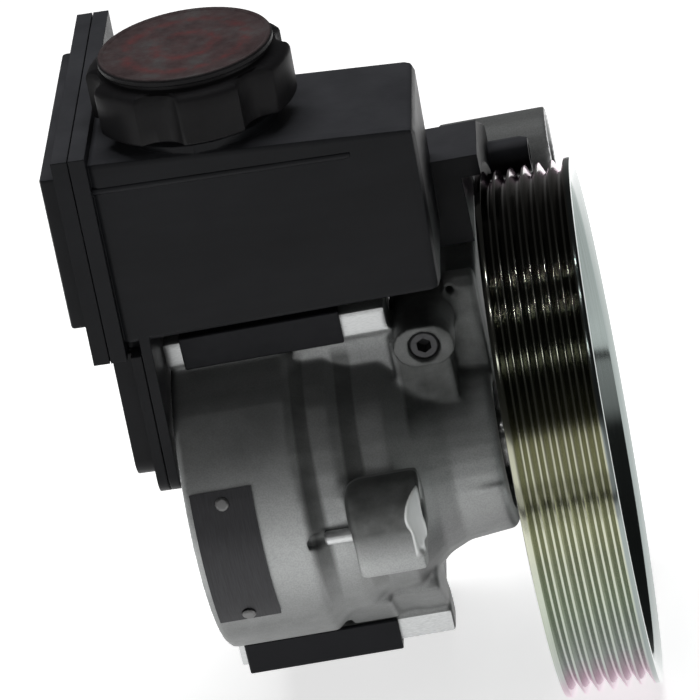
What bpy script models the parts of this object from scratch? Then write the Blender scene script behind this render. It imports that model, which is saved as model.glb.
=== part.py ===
"""Power steering pump: a vane pump with a belt pulley and a clipped-on oil reservoir.

Frame: the shaft lies on the X axis and the pulley is at +X. +Z is up, and the nameplate side
faces -Y. The origin is the middle of the pump's rear face.
"""
import math

import bmesh
import bpy
from mathutils import Matrix, Vector

MM = 0.001
DEG = math.pi / 180

# Fits between pieces
SEAT = 0.10 * MM          # radial gap of a piece that sits in its bore
RUN = 0.10 * MM           # radial gap of a turning or sliding fit
GAP = 0.30 * MM           # gap between faces that lie on each other
FINE = 40                 # facets round the large turned pieces
MEDIUM = 24               # facets round bosses, bores and rings of middle size
COARSE = 16               # facets round the smallest tubes and rings

# Vane cartridge, which sets the chamber and so the barrel round it
ROTOR_R = 18.8 * MM
CAM_RISE = (0.4 * MM, 3.4 * MM)   # from the rotor to the chamber wall, least and most
VANES = 10
VANE_THICK = 1.7 * MM
VANE_SHARE = 0.708        # how much of the rotor's depth a vane takes
SLOT_SIDE = 0.08 * MM     # oil film on each side of a vane
KIDNEY_WIDTH = 3.0 * MM
KIDNEY_SPAN = 46 * DEG
DOWEL_R = 2.0 * MM
RING_WALL = 4.8 * MM      # from the chamber wall's widest place to the dowels' axes
DOWEL_WALL = 4.0 * MM     # from the dowels' axes to the cartridge's outside
BARREL_WALL = 10.0 * MM
RETAINER_THICK = 1.6 * MM
RETAINER_DEPTH = 1.6 * MM

# Pump barrel and its nose
BARREL_END_X = 29.5 * MM  # where the barrel steps down to the first land
LAND_STEP = 3.5 * MM      # how far each land lies inside the one before
LAND_1_X = (33.0 * MM, 39.5 * MM)
LAND_2_X = (45.0 * MM, 53.0 * MM)
THROAT_STEP = 7.6 * MM    # from the second land down to the foot of the cone
THROAT_X = 60.0 * MM
NOSE_R = 22.8 * MM
NOSE_X = 78.4 * MM
CHAMFER = 1.2 * MM

# Shaft line, stacked from the rear face towards the pulley
SHAFT_R = 7.5 * MM
SHAFT_END_X = 102.0 * MM
COVER_BOSS_R = 12.0 * MM
COVER_BOSS_H = 3.0 * MM
COVER_THICK = 7.0 * MM
SPRING_H = 2.4 * MM
SPRING_SHEET = 0.8 * MM
SPRING_WALL = (9.0 * MM, 18.0 * MM)   # from the chamber's wall to its outer and inner edge
PLATE_THICK = 6.0 * MM
RING_WIDTH = 18.0 * MM
BUSH_R = 10.5 * MM
BUSH_LENGTH = 11.0 * MM
SEAL_R = 13.0 * MM
SEAL_LENGTH = 6.0 * MM
BEARING_R = 17.5 * MM
BEARING_WIDTH = 11.0 * MM
BEARING_WALL = 3.2 * MM   # thickness of each race
BALL_R = 3.0 * MM
TRACK_ROOM = 0.35 * MM    # how much wider a ball track is than the ball
BALLS = 7
STATION = 1.0 * MM        # shoulder between the pieces on the shaft line

# Rails that carry the reservoir, and the clips on them
RAIL_HEIGHT = 7.0 * MM    # how far a rail stands out past the barrel
RAIL_THICK = 10.0 * MM
RAIL_LENGTH = 56.6 * MM
RAIL_WEB = 0.6 * MM       # the casting under a rail stands this far behind its face
RAIL_FOOT = 2.0 * MM      # how far a rail runs down behind the barrel's crown
WEB_STEPS = ((31.5 * MM, 43.5 * MM, 0.0 * MM), (43.0 * MM, 50.4 * MM, 3.0 * MM),
             (49.9 * MM, 56.2 * MM, 2.2 * MM))   # X from, X to, how far the face is set back
WEB_HEEL = (-20.0 * MM, 20.0 * MM)
LOWER_WEB = ((-25.0 * MM, -27.5 * MM), (-14.0 * MM, -38.5 * MM))
CLIP_SHEET = 1.4 * MM
CLIP_LENGTH = 40.5 * MM
CLIP_X = (4.6 * MM, 1.8 * MM)   # where the upper and the lower clip start
CLIP_DROP = 7.6 * MM      # how far a clip's front leg reaches over the rail

# Bosses of the housing
BOLT_BOSS_R = 8.8 * MM
BOLT_BOSS_SINK = 1.5 * MM   # how far the boss's axis lies inside the barrel's side
BOLT_BOSS_Z = 8.0 * MM
BOLT_BOSS_X = (39.6 * MM, 58.5 * MM)
BOLT_HOLE_R = 4.25 * MM
BOLT_HOLE_DEPTH = 18.0 * MM
BOSS_FOOT = (7.9 * MM, 15.5 * MM)   # how far the block under it reaches out and in
BOSS_FOOT_Z = -7.0 * MM    # underside of that block
BOSS_BLEND = 4.0 * MM
PIN_R = 1.75 * MM
PIN_RISE = 0.9 * MM        # from the first land to the pin's axis
PIN_Z = 1.6 * MM
PIN_X = (26.0 * MM, 39.4 * MM)
VALVE_X = 65.0 * MM
VALVE_DROP = 18.0 * MM     # from the box's floor down to the valve's axis
VALVE_BOSS_R = 5.6 * MM    # half height of the oblong boss
VALVE_BOSS_REACH = 2.2 * MM   # half the distance between its two round ends
VALVE_BORE_R = 4.0 * MM
VALVE_Y = (-19.0 * MM, 32.0 * MM)
GALLERY_R = 2.0 * MM
GALLERY_YZ = (12.0 * MM, 26.0 * MM)
VALVE_WEB = (-13.0 * MM, 20.0 * MM)
VALVE_WEB_FOOT = 15.0 * MM
LUG_DROP = 10.0 * MM       # from the box's floor down to the lug's top
LUG_EDGE = (-2.0 * MM, 5.0 * MM)
LUG_HOLE_R = 1.1 * MM
LUG_HOLE_X = 72.6 * MM
LUG_HOLE_DROP = 2.5 * MM   # from the lug's top down to the hole
ARM_X = (71.2 * MM, 79.0 * MM)
ARM_DROP = 14.5 * MM       # from the box's floor down to the arm's top edge
ARM_TOP_Y = (9.0 * MM, 73.0 * MM)
ARM_CORNERS = ((82.0 * MM, 30.5 * MM), (62.0 * MM, 10.0 * MM), (22.0 * MM, -12.0 * MM),
               (0.0 * MM, -18.0 * MM), (-2.0 * MM, 14.0 * MM))
ARM_WINDOW = ((32.0 * MM, 8.0 * MM), (36.0 * MM, 31.0 * MM), (60.0 * MM, 31.0 * MM),
              (54.0 * MM, 19.0 * MM))
EYE_R = 12.0 * MM
EYE_BORE_R = 9.6 * MM
EYE_YZ = (79.0 * MM, 41.0 * MM)
EYE_END_X = 100.5 * MM

# Flow control valve in its bore
PLUG_LENGTH = 9.0 * MM
PLUG_RECESS = 0.8 * MM
PLUG_SOCKET_R = 2.0 * MM
PLUG_SOCKET_DEPTH = 4.0 * MM
SPOOL_LENGTH = 18.0 * MM
SPOOL_TRAVEL = 6.0 * MM
SPRING_WIRE_R = 0.5 * MM
SPRING_TURNS = 4.5
UNION_STEM = 10.0 * MM
UNION_HEX = 6.6 * MM
UNION_HEAD = 8.0 * MM
UNION_BORE_R = 2.4 * MM

# Pulley with a six-rib belt track
PULLEY_R = 68.0 * MM
PULLEY_REAR_X = 83.2 * MM
FLANGE_LAND = 1.42 * MM   # width of the flange beside the outermost groove
GROOVES = 6
GROOVE_PITCH = 3.56 * MM
GROOVE_DEPTH = 2.9 * MM
GROOVE_FLAT = 0.55 * MM
RIM_THICK = 5.7 * MM
WEB_THICK = 3.2 * MM
WEB_X = 95.0 * MM         # rear face of the web
WEB_WINDOWS = 6
WINDOW_R = (29.0 * MM, 54.0 * MM)
WINDOW_SPAN = 34 * DEG
HUB_R = 22.0 * MM
HUB_SLEEVE_R = 11.5 * MM
HUB_FLANGE = 4.0 * MM
HUB_BOLTS = 3
HUB_BOLT_RING_R = 16.5 * MM
HUB_BOLT_R = 3.0 * MM
HUB_BOLT_HEX = 5.8 * MM
HUB_BOLT_HEAD = 4.5 * MM

# Reservoir: its box leans with the mould's draft, so its floor is level with the shaft
TILT = 2.1 * DEG
BOX_X = -6.2 * MM
BOX_LIFT = 9.5 * MM       # from the rails' top up to the box's floor
BOX_LENGTH = 79.1 * MM
BOX_HEIGHT = 49.6 * MM
BOX_Y = (-26.0 * MM, 16.0 * MM)
BOX_EDGE = 2.2 * MM
WALL = 2.5 * MM
FLANGE_THICK = 4.0 * MM
FLANGE_FRONT_Y = -28.0 * MM
FLANGE_BACK = 8.0 * MM    # how far the flange reaches out past the tank
FLANGE_Z = (-3.2 * MM, 52.0 * MM)
COVER_STEP = 7.0 * MM
COVER_DEPTH = 4.8 * MM
TOWER_X = 28.0 * MM       # end of the tall part behind the filler cap
TOWER_BACK = 5.5 * MM     # how far it reaches out past the tank
TOWER_RISE = 40.5 * MM    # its height over the box's floor
TOWER_CHAMFER = 4.0 * MM
BACK_X = 85.5 * MM        # end of the low part that reaches over the pulley
BACK_RISE = 22.5 * MM     # its top over the return nipple's axis
BACK_EDGE_RISE = 8.0 * MM
BACK_RIDGE = 26.0 * MM    # how far its ridge lies in front of the tank's back
BACK_OUT = 2.5 * MM       # how far it reaches out past the tank
BACK_FLOOR_DROP = 6.5 * MM
BACK_FLOOR_IN = 10.0 * MM
BACK_STEP_DROP = 5.5 * MM
PULLEY_ROOM = 2.6 * MM    # free space between the reservoir and the pulley
TANK_X1 = 54.5 * MM
TANK_ROOM = 15.0 * MM     # from the barrel's side to the tank's back
TANK_FRONT_Y = 12.5 * MM
LOBE_DROP = 44.0 * MM       # from the box's floor down to the lobe's lower edge
LOBE_CORNER = 6.0 * MM
BACK_LAP = 6.6 * MM          # how far the low rear part reaches into the box
LOBE_STEP = 6.2 * MM        # how far the lobe stands in front of the box's flange
LOBE_FLANGE = 2.6 * MM
LOBE_WALL = 1.3 * MM
LOBE_RIM = 9.0 * MM         # land left round the lobe's pocket
ROOT_INSET = 5.0 * MM       # from the lobe's flanks to what joins it to the box
BRIDGE_THICK = 2.5 * MM
BOWL_INSET = 3.8 * MM
BOWL_EDGE = 2.6 * MM
BOWL_DEPTH = 5.2 * MM       # how far the bowl stands behind the lobe's cover
NIPPLE_R = 5.2 * MM
NIPPLE_BORE_R = 3.2 * MM
NIPPLE_IN = 3.2 * MM      # how far it lies in front of the tank's back
NIPPLE_DROP = 4.5 * MM    # from the box's floor down to its axis
NIPPLE_ROOM = 3.9 * MM    # from its axis to the room round the pulley
NIPPLE_END_X = 96.0 * MM
INLET_X = 28.0 * MM
SPIGOT_R = 8.0 * MM
SPIGOT_STOP = 2.5 * MM    # from the chamber's wall to the spigot's tip
SPIGOT_BORE_R = 5.0 * MM
O_RING_R = 1.0 * MM

# Filler neck and cap, in the reservoir's own leaning frame
NECK_X = 26.3 * MM
NECK_Y = -4.9 * MM
NECK_R = 18.0 * MM
NECK_WALL = 2.4 * MM
NECK_RISE = 13.9 * MM     # from the box's roof to the neck's top
CAP_RISE = 5.0 * MM       # from there to the cap's top
CAP_ROOM = 1.2 * MM       # between the neck and the cap's skirt
CAP_SEAT = 1.4 * MM       # room for the seal over the neck
CAP_DISC_R = 21.6 * MM
CAP_SKIRT_R = 25.2 * MM
CAP_SKIRT_RISE = 2.9 * MM   # from the box's roof to the skirt's lower edge
CAP_SHOULDER = 3.7 * MM     # from the cap's top to the skirt's upper edge
CAP_GRIPS = 6
CAP_GRIP_R = 7.6 * MM
CAP_GRIP_DEPTH = 3.0 * MM
CAP_GRIP_TURN = 14 * DEG
DIPSTICK_R = 2.2 * MM
DIPSTICK_HEAD = (8.0 * MM, 2.0 * MM)   # radius and height of its head
DIPSTICK_LENGTH = 50.0 * MM

# Nameplate, rolled round the barrel
PLATE_X = (1.8 * MM, 17.4 * MM)
PLATE_ARC = (-25.0 * DEG, 27.5 * DEG)
PLATE_SHEET = 0.5 * MM
RIVET_R = 1.8 * MM
RIVET_ARC = (-21.8 * DEG, 22.8 * DEG)
RIVET_HEAD = 0.7 * MM

# Places that follow from the sizes above
PULLEY_X = (PULLEY_REAR_X, PULLEY_REAR_X + GROOVES * GROOVE_PITCH + 2 * FLANGE_LAND)
CAM_MINOR_R = ROTOR_R + CAM_RISE[0]
CAM_MAJOR_R = ROTOR_R + CAM_RISE[1]
KIDNEY_R = (CAM_MAJOR_R + 1.3 * MM - KIDNEY_WIDTH, CAM_MAJOR_R + 1.3 * MM)
VANE_LENGTH = (ROTOR_R - SHAFT_R) * VANE_SHARE
DOWEL_RING_R = CAM_MAJOR_R + RING_WALL
CHAMBER_R = DOWEL_RING_R + DOWEL_WALL
BARREL_R = CHAMBER_R + BARREL_WALL
LAND_1_R = BARREL_R - LAND_STEP
LAND_2_R = LAND_1_R - LAND_STEP
THROAT_R = LAND_2_R - THROAT_STEP
RAIL_BASE = BARREL_R
RAIL_TOP = BARREL_R + RAIL_HEIGHT
BOX_ORIGIN = (BOX_X, 0.0, RAIL_TOP + BOX_LIFT)
BOLT_BOSS_YZ = (BOLT_BOSS_SINK - BARREL_R, BOLT_BOSS_Z)
PIN_YZ = (-LAND_1_R - PIN_RISE, PIN_Z)
VALVE_Z = BOX_ORIGIN[2] - VALVE_DROP
LUG_TOP = BOX_ORIGIN[2] - LUG_DROP
ARM_TOP = BOX_ORIGIN[2] - ARM_DROP
RIM_INNER_R = PULLEY_R - RIM_THICK
TANK_Y = BARREL_R + TANK_ROOM
BACK_FRONT_Y = BOX_Y[1] - BACK_LAP
LOBE_Y = (BOX_Y[0], BACK_FRONT_Y - GAP)
ROOT_Y = (LOBE_Y[0] + ROOT_INSET, LOBE_Y[1] - ROOT_INSET)
FLANGE_Y = (FLANGE_FRONT_Y, TANK_Y + FLANGE_BACK)
TOWER_Y = TANK_Y + TOWER_BACK
TOWER_Z = BOX_ORIGIN[2] + TOWER_RISE
BACK_Y = TANK_Y + BACK_OUT
BACK_RIDGE_Y = TANK_Y - BACK_RIDGE
BACK_FLOOR_Y = TANK_Y - BACK_FLOOR_IN
BACK_STEP_Z = BOX_ORIGIN[2] - BACK_STEP_DROP
NIPPLE_Y = TANK_Y - NIPPLE_IN
NIPPLE_CLEAR = PULLEY_R + PULLEY_ROOM + NIPPLE_ROOM
NIPPLE_Z = max(BOX_ORIGIN[2] - NIPPLE_DROP, math.sqrt(NIPPLE_CLEAR ** 2 - NIPPLE_Y ** 2))
NIPPLE_YZ = (NIPPLE_Y, NIPPLE_Z)
BACK_TOP_Z = NIPPLE_Z + BACK_RISE
BACK_EDGE_Z = NIPPLE_Z + BACK_EDGE_RISE
BACK_FLOOR_Z = NIPPLE_Z - BACK_FLOOR_DROP
SPIGOT_TIP_Y = CHAMBER_R + SPIGOT_STOP
NECK_TOP = BOX_HEIGHT + NECK_RISE
CAP_TOP = NECK_TOP + CAP_RISE
CAP_SKIRT_Z = (BOX_HEIGHT + CAP_SKIRT_RISE, CAP_TOP - CAP_SHOULDER)
COVER_X0 = COVER_BOSS_H
COVER_X1 = COVER_X0 + COVER_THICK
SPRING_X0 = COVER_X1 + GAP
SPRING_X1 = SPRING_X0 + SPRING_H
REAR_PLATE_X0 = SPRING_X1 + GAP
REAR_PLATE_X1 = REAR_PLATE_X0 + PLATE_THICK
RING_X0 = REAR_PLATE_X1 + GAP
RING_X1 = RING_X0 + RING_WIDTH
FRONT_PLATE_X0 = RING_X1 + GAP
FRONT_PLATE_X1 = FRONT_PLATE_X0 + PLATE_THICK
CHAMBER_X = FRONT_PLATE_X1 + GAP
BUSH_X0 = CHAMBER_X + STATION
BUSH_X1 = BUSH_X0 + BUSH_LENGTH
SEAL_X0 = BUSH_X1 + STATION
SEAL_X1 = SEAL_X0 + SEAL_LENGTH
BEARING_X0 = SEAL_X1 + STATION
BEARING_X1 = BEARING_X0 + BEARING_WIDTH
BEARING_MID_X = (BEARING_X0 + BEARING_X1) / 2
BALL_RING_R = (SHAFT_R + BEARING_R) / 2

# The two big castings are cut so often that the exact solver leaves open edges on them
MANY_CUTS = ("pump_housing", "reservoir_body")

ALONG_X = Matrix(((0, 0, 1, 0), (1, 0, 0, 0), (0, 1, 0, 0), (0, 0, 0, 1)))
ALONG_Y = Matrix(((0, 1, 0, 0), (0, 0, 1, 0), (1, 0, 0, 0), (0, 0, 0, 1)))
UPRIGHT = Matrix.Identity(4)
SIDE_VIEW = Matrix(((1, 0, 0, 0), (0, 0, -1, 0), (0, 1, 0, 0), (0, 0, 0, 1)))
LEAN = Matrix.Translation(BOX_ORIGIN) @ Matrix.Rotation(TILT, 4, "Y")


def clear_scene():
    for item in list(bpy.data.objects):
        bpy.data.objects.remove(item, do_unlink=True)


def new_collection(name):
    collection = bpy.data.collections.new(name)
    bpy.context.scene.collection.children.link(collection)
    return collection


def make_material(name, colour, roughness, metallic):
    material = bpy.data.materials.new(name)
    material.use_nodes = True
    shader = material.node_tree.nodes["Principled BSDF"]
    shader.inputs["Base Color"].default_value = (*colour, 1)
    shader.inputs["Roughness"].default_value = roughness
    shader.inputs["Metallic"].default_value = metallic
    material.diffuse_color = (*colour, 1)
    return material


def cast_aluminium(name):
    return make_material(name, (0.36, 0.37, 0.37), 0.55, 0.85)


def bright_steel(name):
    return make_material(name, (0.62, 0.62, 0.60), 0.28, 1.0)


def dark_steel(name):
    return make_material(name, (0.05, 0.05, 0.055), 0.42, 0.7)


def zinc_plate(name):
    return make_material(name, (0.60, 0.58, 0.46), 0.25, 1.0)


def black_plastic(name):
    return make_material(name, (0.018, 0.020, 0.022), 0.42, 0.0)


def rubber(name):
    return make_material(name, (0.02, 0.02, 0.02), 0.75, 0.0)


def bronze(name):
    return make_material(name, (0.50, 0.33, 0.14), 0.38, 1.0)


class Builder:
    """Makes the pieces and the hidden tool bodies that shape them."""

    def __init__(self):
        self.parts = new_collection("power_steering_pump")
        self.tools = new_collection("shaping_bodies")

    def add(self, name, data, material=None, matrix=UPRIGHT):
        piece = bpy.data.objects.new(name, data)
        piece.matrix_world = matrix
        if material is None:
            self.tools.objects.link(piece)
            piece.hide_render = True
            piece.display_type = "WIRE"
        else:
            self.parts.objects.link(piece)
            data.materials.append(material(name))
        return piece

    def from_bmesh(self, name, shape, material=None, matrix=UPRIGHT):
        data = bpy.data.meshes.new(name)
        shape.to_mesh(data)
        shape.free()
        return self.add(name, data, material, matrix)

    def box(self, name, low, high, material=None, matrix=UPRIGHT, edge=0.0):
        low = Vector(low)
        high = Vector(high)
        size = high - low
        shape = bmesh.new()
        bmesh.ops.create_cube(shape, size=1.0)
        bmesh.ops.scale(shape, vec=size, verts=shape.verts)
        bmesh.ops.translate(shape, vec=(low + high) / 2, verts=shape.verts)
        piece = self.from_bmesh(name, shape, material, matrix)
        if edge:
            self.soften(piece, edge)
        return piece

    def soften(self, piece, width, segments=2, angle=30 * DEG):
        bevel = piece.modifiers.new("soft_edges", "BEVEL")
        bevel.width = width
        bevel.segments = segments
        bevel.limit_method = "ANGLE"
        bevel.angle_limit = angle
        return piece

    def turned(self, name, profile, material=None, matrix=ALONG_X, steps=MEDIUM):
        """Turn (radius, station) points, listed down the outer side, round the local Z axis."""
        data = bpy.data.meshes.new(name)
        points = [(radius, 0.0, station) for radius, station in profile]
        edges = [(i, i + 1) for i in range(len(points) - 1)]
        if profile[0][0] > 0:
            edges.append((len(points) - 1, 0))
        data.from_pydata(points, edges, [])
        piece = self.add(name, data, material, matrix)
        screw = piece.modifiers.new("turn", "SCREW")
        screw.axis = "Z"
        screw.steps = steps
        screw.render_steps = steps
        screw.use_merge_vertices = True
        screw.merge_threshold = 1e-6
        return piece

    def rod(self, name, radius, low, high, centre=(0.0, 0.0), material=None,
            matrix=ALONG_X, steps=COARSE):
        profile = [(0, high), (radius, high), (radius, low), (0, low)]
        place = matrix @ Matrix.Translation((centre[0], centre[1], 0))
        return self.turned(name, profile, material, place, steps)

    def ring(self, name, outer, inner, low, high, material=None, matrix=ALONG_X, steps=MEDIUM):
        profile = [(outer, high), (outer, low), (inner, low), (inner, high)]
        return self.turned(name, profile, material, matrix, steps)

    def o_ring(self, name, major, minor, station, material, matrix=ALONG_X, steps=MEDIUM):
        turns = [math.tau * i / 7 for i in range(7)]
        profile = [(major + minor * math.cos(-t), station + minor * math.sin(-t)) for t in turns]
        return self.turned(name, profile, material, matrix, steps)

    def prism(self, name, outlines, low, high, material=None, matrix=ALONG_X):
        """Extrude closed outlines, the first the outer one, between two stations."""
        curve = bpy.data.curves.new(name, "CURVE")
        curve.dimensions = "2D"
        curve.fill_mode = "BOTH"
        curve.extrude = (high - low) / 2
        for outline in outlines:
            spline = curve.splines.new("POLY")
            spline.points.add(len(outline) - 1)
            spline.use_cyclic_u = True
            for point, (x, y) in zip(spline.points, outline):
                point.co = (x, y, 0, 1)
        guide = bpy.data.objects.new(name + "_outline", curve)
        self.tools.objects.link(guide)
        bpy.context.view_layer.update()
        depsgraph = bpy.context.evaluated_depsgraph_get()
        data = bpy.data.meshes.new_from_object(guide.evaluated_get(depsgraph))
        data.name = name
        bpy.data.objects.remove(guide, do_unlink=True)
        shape = bmesh.new()
        shape.from_mesh(data)
        bmesh.ops.remove_doubles(shape, verts=shape.verts, dist=1e-6)
        bmesh.ops.recalc_face_normals(shape, faces=shape.faces)
        bmesh.ops.translate(shape, vec=(0, 0, (low + high) / 2), verts=shape.verts)
        shape.to_mesh(data)
        shape.free()
        data.materials.clear()
        return self.add(name, data, material, matrix)

    def combine(self, piece, tool, operation):
        step = piece.modifiers.new(tool.name, "BOOLEAN")
        step.operation = operation
        step.object = tool
        step.solver = "MANIFOLD" if piece.name in MANY_CUTS else "EXACT"

    def join(self, piece, *tools):
        for tool in tools:
            self.combine(piece, tool, "UNION")

    def cut(self, piece, *tools):
        for tool in tools:
            self.combine(piece, tool, "DIFFERENCE")

    def settle(self):
        """Apply every piece's modifiers and shade its round faces smooth."""
        bpy.context.view_layer.update()
        depsgraph = bpy.context.evaluated_depsgraph_get()
        meshes = {}
        for piece in self.parts.objects:
            if piece.type == "MESH":
                meshes[piece] = bpy.data.meshes.new_from_object(piece.evaluated_get(depsgraph))
        for piece, data in meshes.items():
            piece.modifiers.clear()
            piece.data = data
            data.name = piece.name
            data.shade_smooth()
            data.set_sharp_from_angle(angle=35 * DEG)


def circle(radius, count, centre=(0.0, 0.0), start=0.0):
    turns = [start + math.tau * i / count for i in range(count)]
    return [(centre[0] + radius * math.cos(t), centre[1] + radius * math.sin(t)) for t in turns]


def arc(radius, start, end, count, centre=(0.0, 0.0)):
    turns = [start + (end - start) * i / count for i in range(count + 1)]
    return [(centre[0] + radius * math.cos(t), centre[1] + radius * math.sin(t)) for t in turns]


def kidney(inner, outer, middle, span, count=5):
    """A slot bent round the axis, with its ends across the radius."""
    low = middle - span / 2
    high = middle + span / 2
    return arc(outer, low, high, count) + arc(inner, high, low, count)


def cam_radius(angle):
    """The chamber wall swells to two lobes, one on each side."""
    mean = (CAM_MAJOR_R + CAM_MINOR_R) / 2
    swell = (CAM_MAJOR_R - CAM_MINOR_R) / 2
    return mean + swell * math.cos(2 * angle)


def spin(angle, matrix=ALONG_X):
    return matrix @ Matrix.Rotation(angle, 4, "Z")


def in_ring(radius, count, start=0.0):
    return circle(radius, count, start=start)


def make_housing(make):
    """The casting: barrel, two lands, nose, rails, bosses and the arm to the support eye."""
    nose_foot_x = THROAT_X + (NOSE_X - THROAT_X) * 0.3
    body = make.turned("pump_housing", [
        (0, NOSE_X),
        (NOSE_R - CHAMFER, NOSE_X),
        (NOSE_R, NOSE_X - CHAMFER),
        (NOSE_R + 1.2 * MM, nose_foot_x),
        (THROAT_R, THROAT_X),
        (LAND_2_R - CHAMFER, LAND_2_X[1]),
        (LAND_2_R, LAND_2_X[1] - CHAMFER),
        (LAND_2_R, LAND_2_X[0]),
        (LAND_2_R + 0.8 * MM, LAND_2_X[0] - 2.4 * MM),
        (LAND_1_R - CHAMFER, LAND_1_X[1] + 0.4 * MM),
        (LAND_1_R, LAND_1_X[1] - CHAMFER),
        (LAND_1_R, LAND_1_X[0]),
        (LAND_1_R + 0.9 * MM, LAND_1_X[0] - 1.6 * MM),
        (BARREL_R - CHAMFER, BARREL_END_X),
        (BARREL_R, BARREL_END_X - CHAMFER),
        (BARREL_R, CHAMFER),
        (BARREL_R - CHAMFER, 0),
        (0, 0),
    ], cast_aluminium, steps=FINE)

    for side, sign in (("upper", 1), ("lower", -1)):
        rail = make.prism(side + "_rail", [[
            (-RAIL_THICK, sign * RAIL_TOP),
            (-GAP / 2, sign * RAIL_TOP),
            (-GAP / 2, sign * (RAIL_BASE - RAIL_FOOT)),
            (-RAIL_THICK, sign * RAIL_BASE),
        ]], 0, RAIL_LENGTH)
        make.join(body, rail)
        for i, (x0, x1, back) in enumerate(WEB_STEPS):
            front = -RAIL_THICK + RAIL_WEB
            foot = RAIL_BASE + STATION
            section = [(front, sign * foot), (-GAP, sign * foot), (-GAP, sign * NOSE_R),
                       (WEB_HEEL[0], sign * WEB_HEEL[1])]
            if sign > 0:
                section.append((front, sign * NOSE_R))
            else:
                section += [(y + back, z) for y, z in LOWER_WEB]
                section.append((front, STATION - RAIL_BASE))
            web = make.prism("%s_web_%d" % (side, i + 1), [section], x0, x1)
            make.join(body, web)

    bolt_boss = make.turned("bolt_boss", [
        (0, BOLT_BOSS_X[1]),
        (BOLT_BOSS_R, BOLT_BOSS_X[1]),
        (BOLT_BOSS_R, BOLT_BOSS_X[0] + BOSS_BLEND),
        (BOLT_BOSS_R - BOSS_BLEND * 0.3, BOLT_BOSS_X[0] + BOSS_BLEND * 0.3),
        (BOLT_BOSS_R - BOSS_BLEND, BOLT_BOSS_X[0]),
        (0, BOLT_BOSS_X[0]),
    ], matrix=ALONG_X @ Matrix.Translation((*BOLT_BOSS_YZ, 0)), steps=MEDIUM)
    boss_foot = make.box("boss_foot",
                         (BOLT_BOSS_X[0] + 2 * GAP, BOLT_BOSS_YZ[0] - BOSS_FOOT[0], BOSS_FOOT_Z),
                         (BOLT_BOSS_X[1] - CHAMFER, BOLT_BOSS_YZ[0] + BOSS_FOOT[1],
                          BOLT_BOSS_Z - 2 * STATION),
                         edge=CHAMFER)
    ends = arc(VALVE_BOSS_R, -math.pi / 2, math.pi / 2, 8, (VALVE_X + VALVE_BOSS_REACH, VALVE_Z))
    ends += arc(VALVE_BOSS_R, math.pi / 2, math.pi * 1.5, 8, (VALVE_X - VALVE_BOSS_REACH, VALVE_Z))
    valve_boss = make.prism("valve_boss", [ends], -VALVE_Y[1], -VALVE_Y[0], matrix=SIDE_VIEW)
    valve_web = make.box("valve_web", (LAND_2_X[1] + 3 * STATION, VALVE_WEB[0], VALVE_WEB_FOOT),
                         (ARM_X[0] - 2 * GAP, VALVE_WEB[1], VALVE_Z))
    gallery_wall = make.rod("gallery_wall", 3 * GALLERY_R, LAND_2_X[0], VALVE_X, GALLERY_YZ)
    outline = [(LUG_EDGE[0], LUG_TOP - 2 * STATION), (0, LUG_TOP), (LUG_EDGE[1], LUG_TOP)]
    outline += [(y, ARM_TOP) for y in ARM_TOP_Y] + list(ARM_CORNERS)
    arm = make.prism("arm", [outline, list(ARM_WINDOW)], ARM_X[0], ARM_X[1])
    eye_place = ALONG_X @ Matrix.Translation((*EYE_YZ, 0))
    eye_room = make.rod("eye_room", (EYE_R + EYE_BORE_R) / 2, ARM_X[0] - STATION,
                        ARM_X[1] + STATION, EYE_YZ, steps=32)
    make.cut(arm, eye_room)
    eye = make.ring("eye", EYE_R, EYE_BORE_R, ARM_X[0] + 0.4 * MM, EYE_END_X, matrix=eye_place)
    ridge = make.box("nose_ridge", (BOLT_BOSS_X[1] - STATION, -GAP * 2, NOSE_R - 3 * STATION),
                     (NOSE_X - STATION, GAP * 2, NOSE_R + STATION),
                     matrix=Matrix.Rotation(92 * DEG, 4, "X"))
    make.join(body, bolt_boss, boss_foot, valve_boss, valve_web, gallery_wall, arm, eye,
              ridge)

    bores = make.turned("shaft_line_bores", [
        (0, NOSE_X + STATION),
        (BEARING_R + SEAT, NOSE_X + STATION),
        (BEARING_R + SEAT, BEARING_X1 + GAP + RETAINER_THICK),
        (BEARING_R + RETAINER_DEPTH, BEARING_X1 + GAP + RETAINER_THICK),
        (BEARING_R + RETAINER_DEPTH, BEARING_X1 + GAP / 2),
        (BEARING_R + SEAT, BEARING_X1 + GAP / 2),
        (BEARING_R + SEAT, SEAL_X1 + STATION - GAP),
        (SEAL_R + SEAT, SEAL_X1 + STATION - GAP),
        (SEAL_R + SEAT, BUSH_X1 + STATION - GAP),
        (BUSH_R + SEAT, BUSH_X1 + STATION - GAP),
        (BUSH_R + SEAT, CHAMBER_X),
        (CHAMBER_R, CHAMBER_X),
        (CHAMBER_R, COVER_X0 - GAP / 2),
        (CHAMBER_R + RETAINER_DEPTH, COVER_X0 - GAP / 2),
        (CHAMBER_R + RETAINER_DEPTH, COVER_X0 - 2 * GAP - RETAINER_THICK),
        (CHAMBER_R, COVER_X0 - 2 * GAP - RETAINER_THICK),
        (CHAMBER_R, -STATION),
        (0, -STATION),
    ], steps=FINE)
    bolt_hole = make.rod("bolt_hole", BOLT_HOLE_R, BOLT_BOSS_X[1] - BOLT_HOLE_DEPTH,
                         BOLT_BOSS_X[1] + STATION, BOLT_BOSS_YZ)
    pin_hole = make.rod("pin_hole", PIN_R + SEAT, PIN_X[0] - GAP, PIN_X[1] + GAP, PIN_YZ)
    valve_bore = make.rod("valve_bore", VALVE_BORE_R, VALVE_Y[0] - STATION, VALVE_Y[1] + STATION,
                          (VALVE_Z, VALVE_X), matrix=ALONG_Y, steps=MEDIUM)
    inlet = make.rod("inlet_bore", SPIGOT_R + 1.3 * MM, CHAMBER_R - 4 * MM, BARREL_R + STATION,
                     (0, INLET_X), matrix=ALONG_Y)
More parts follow.
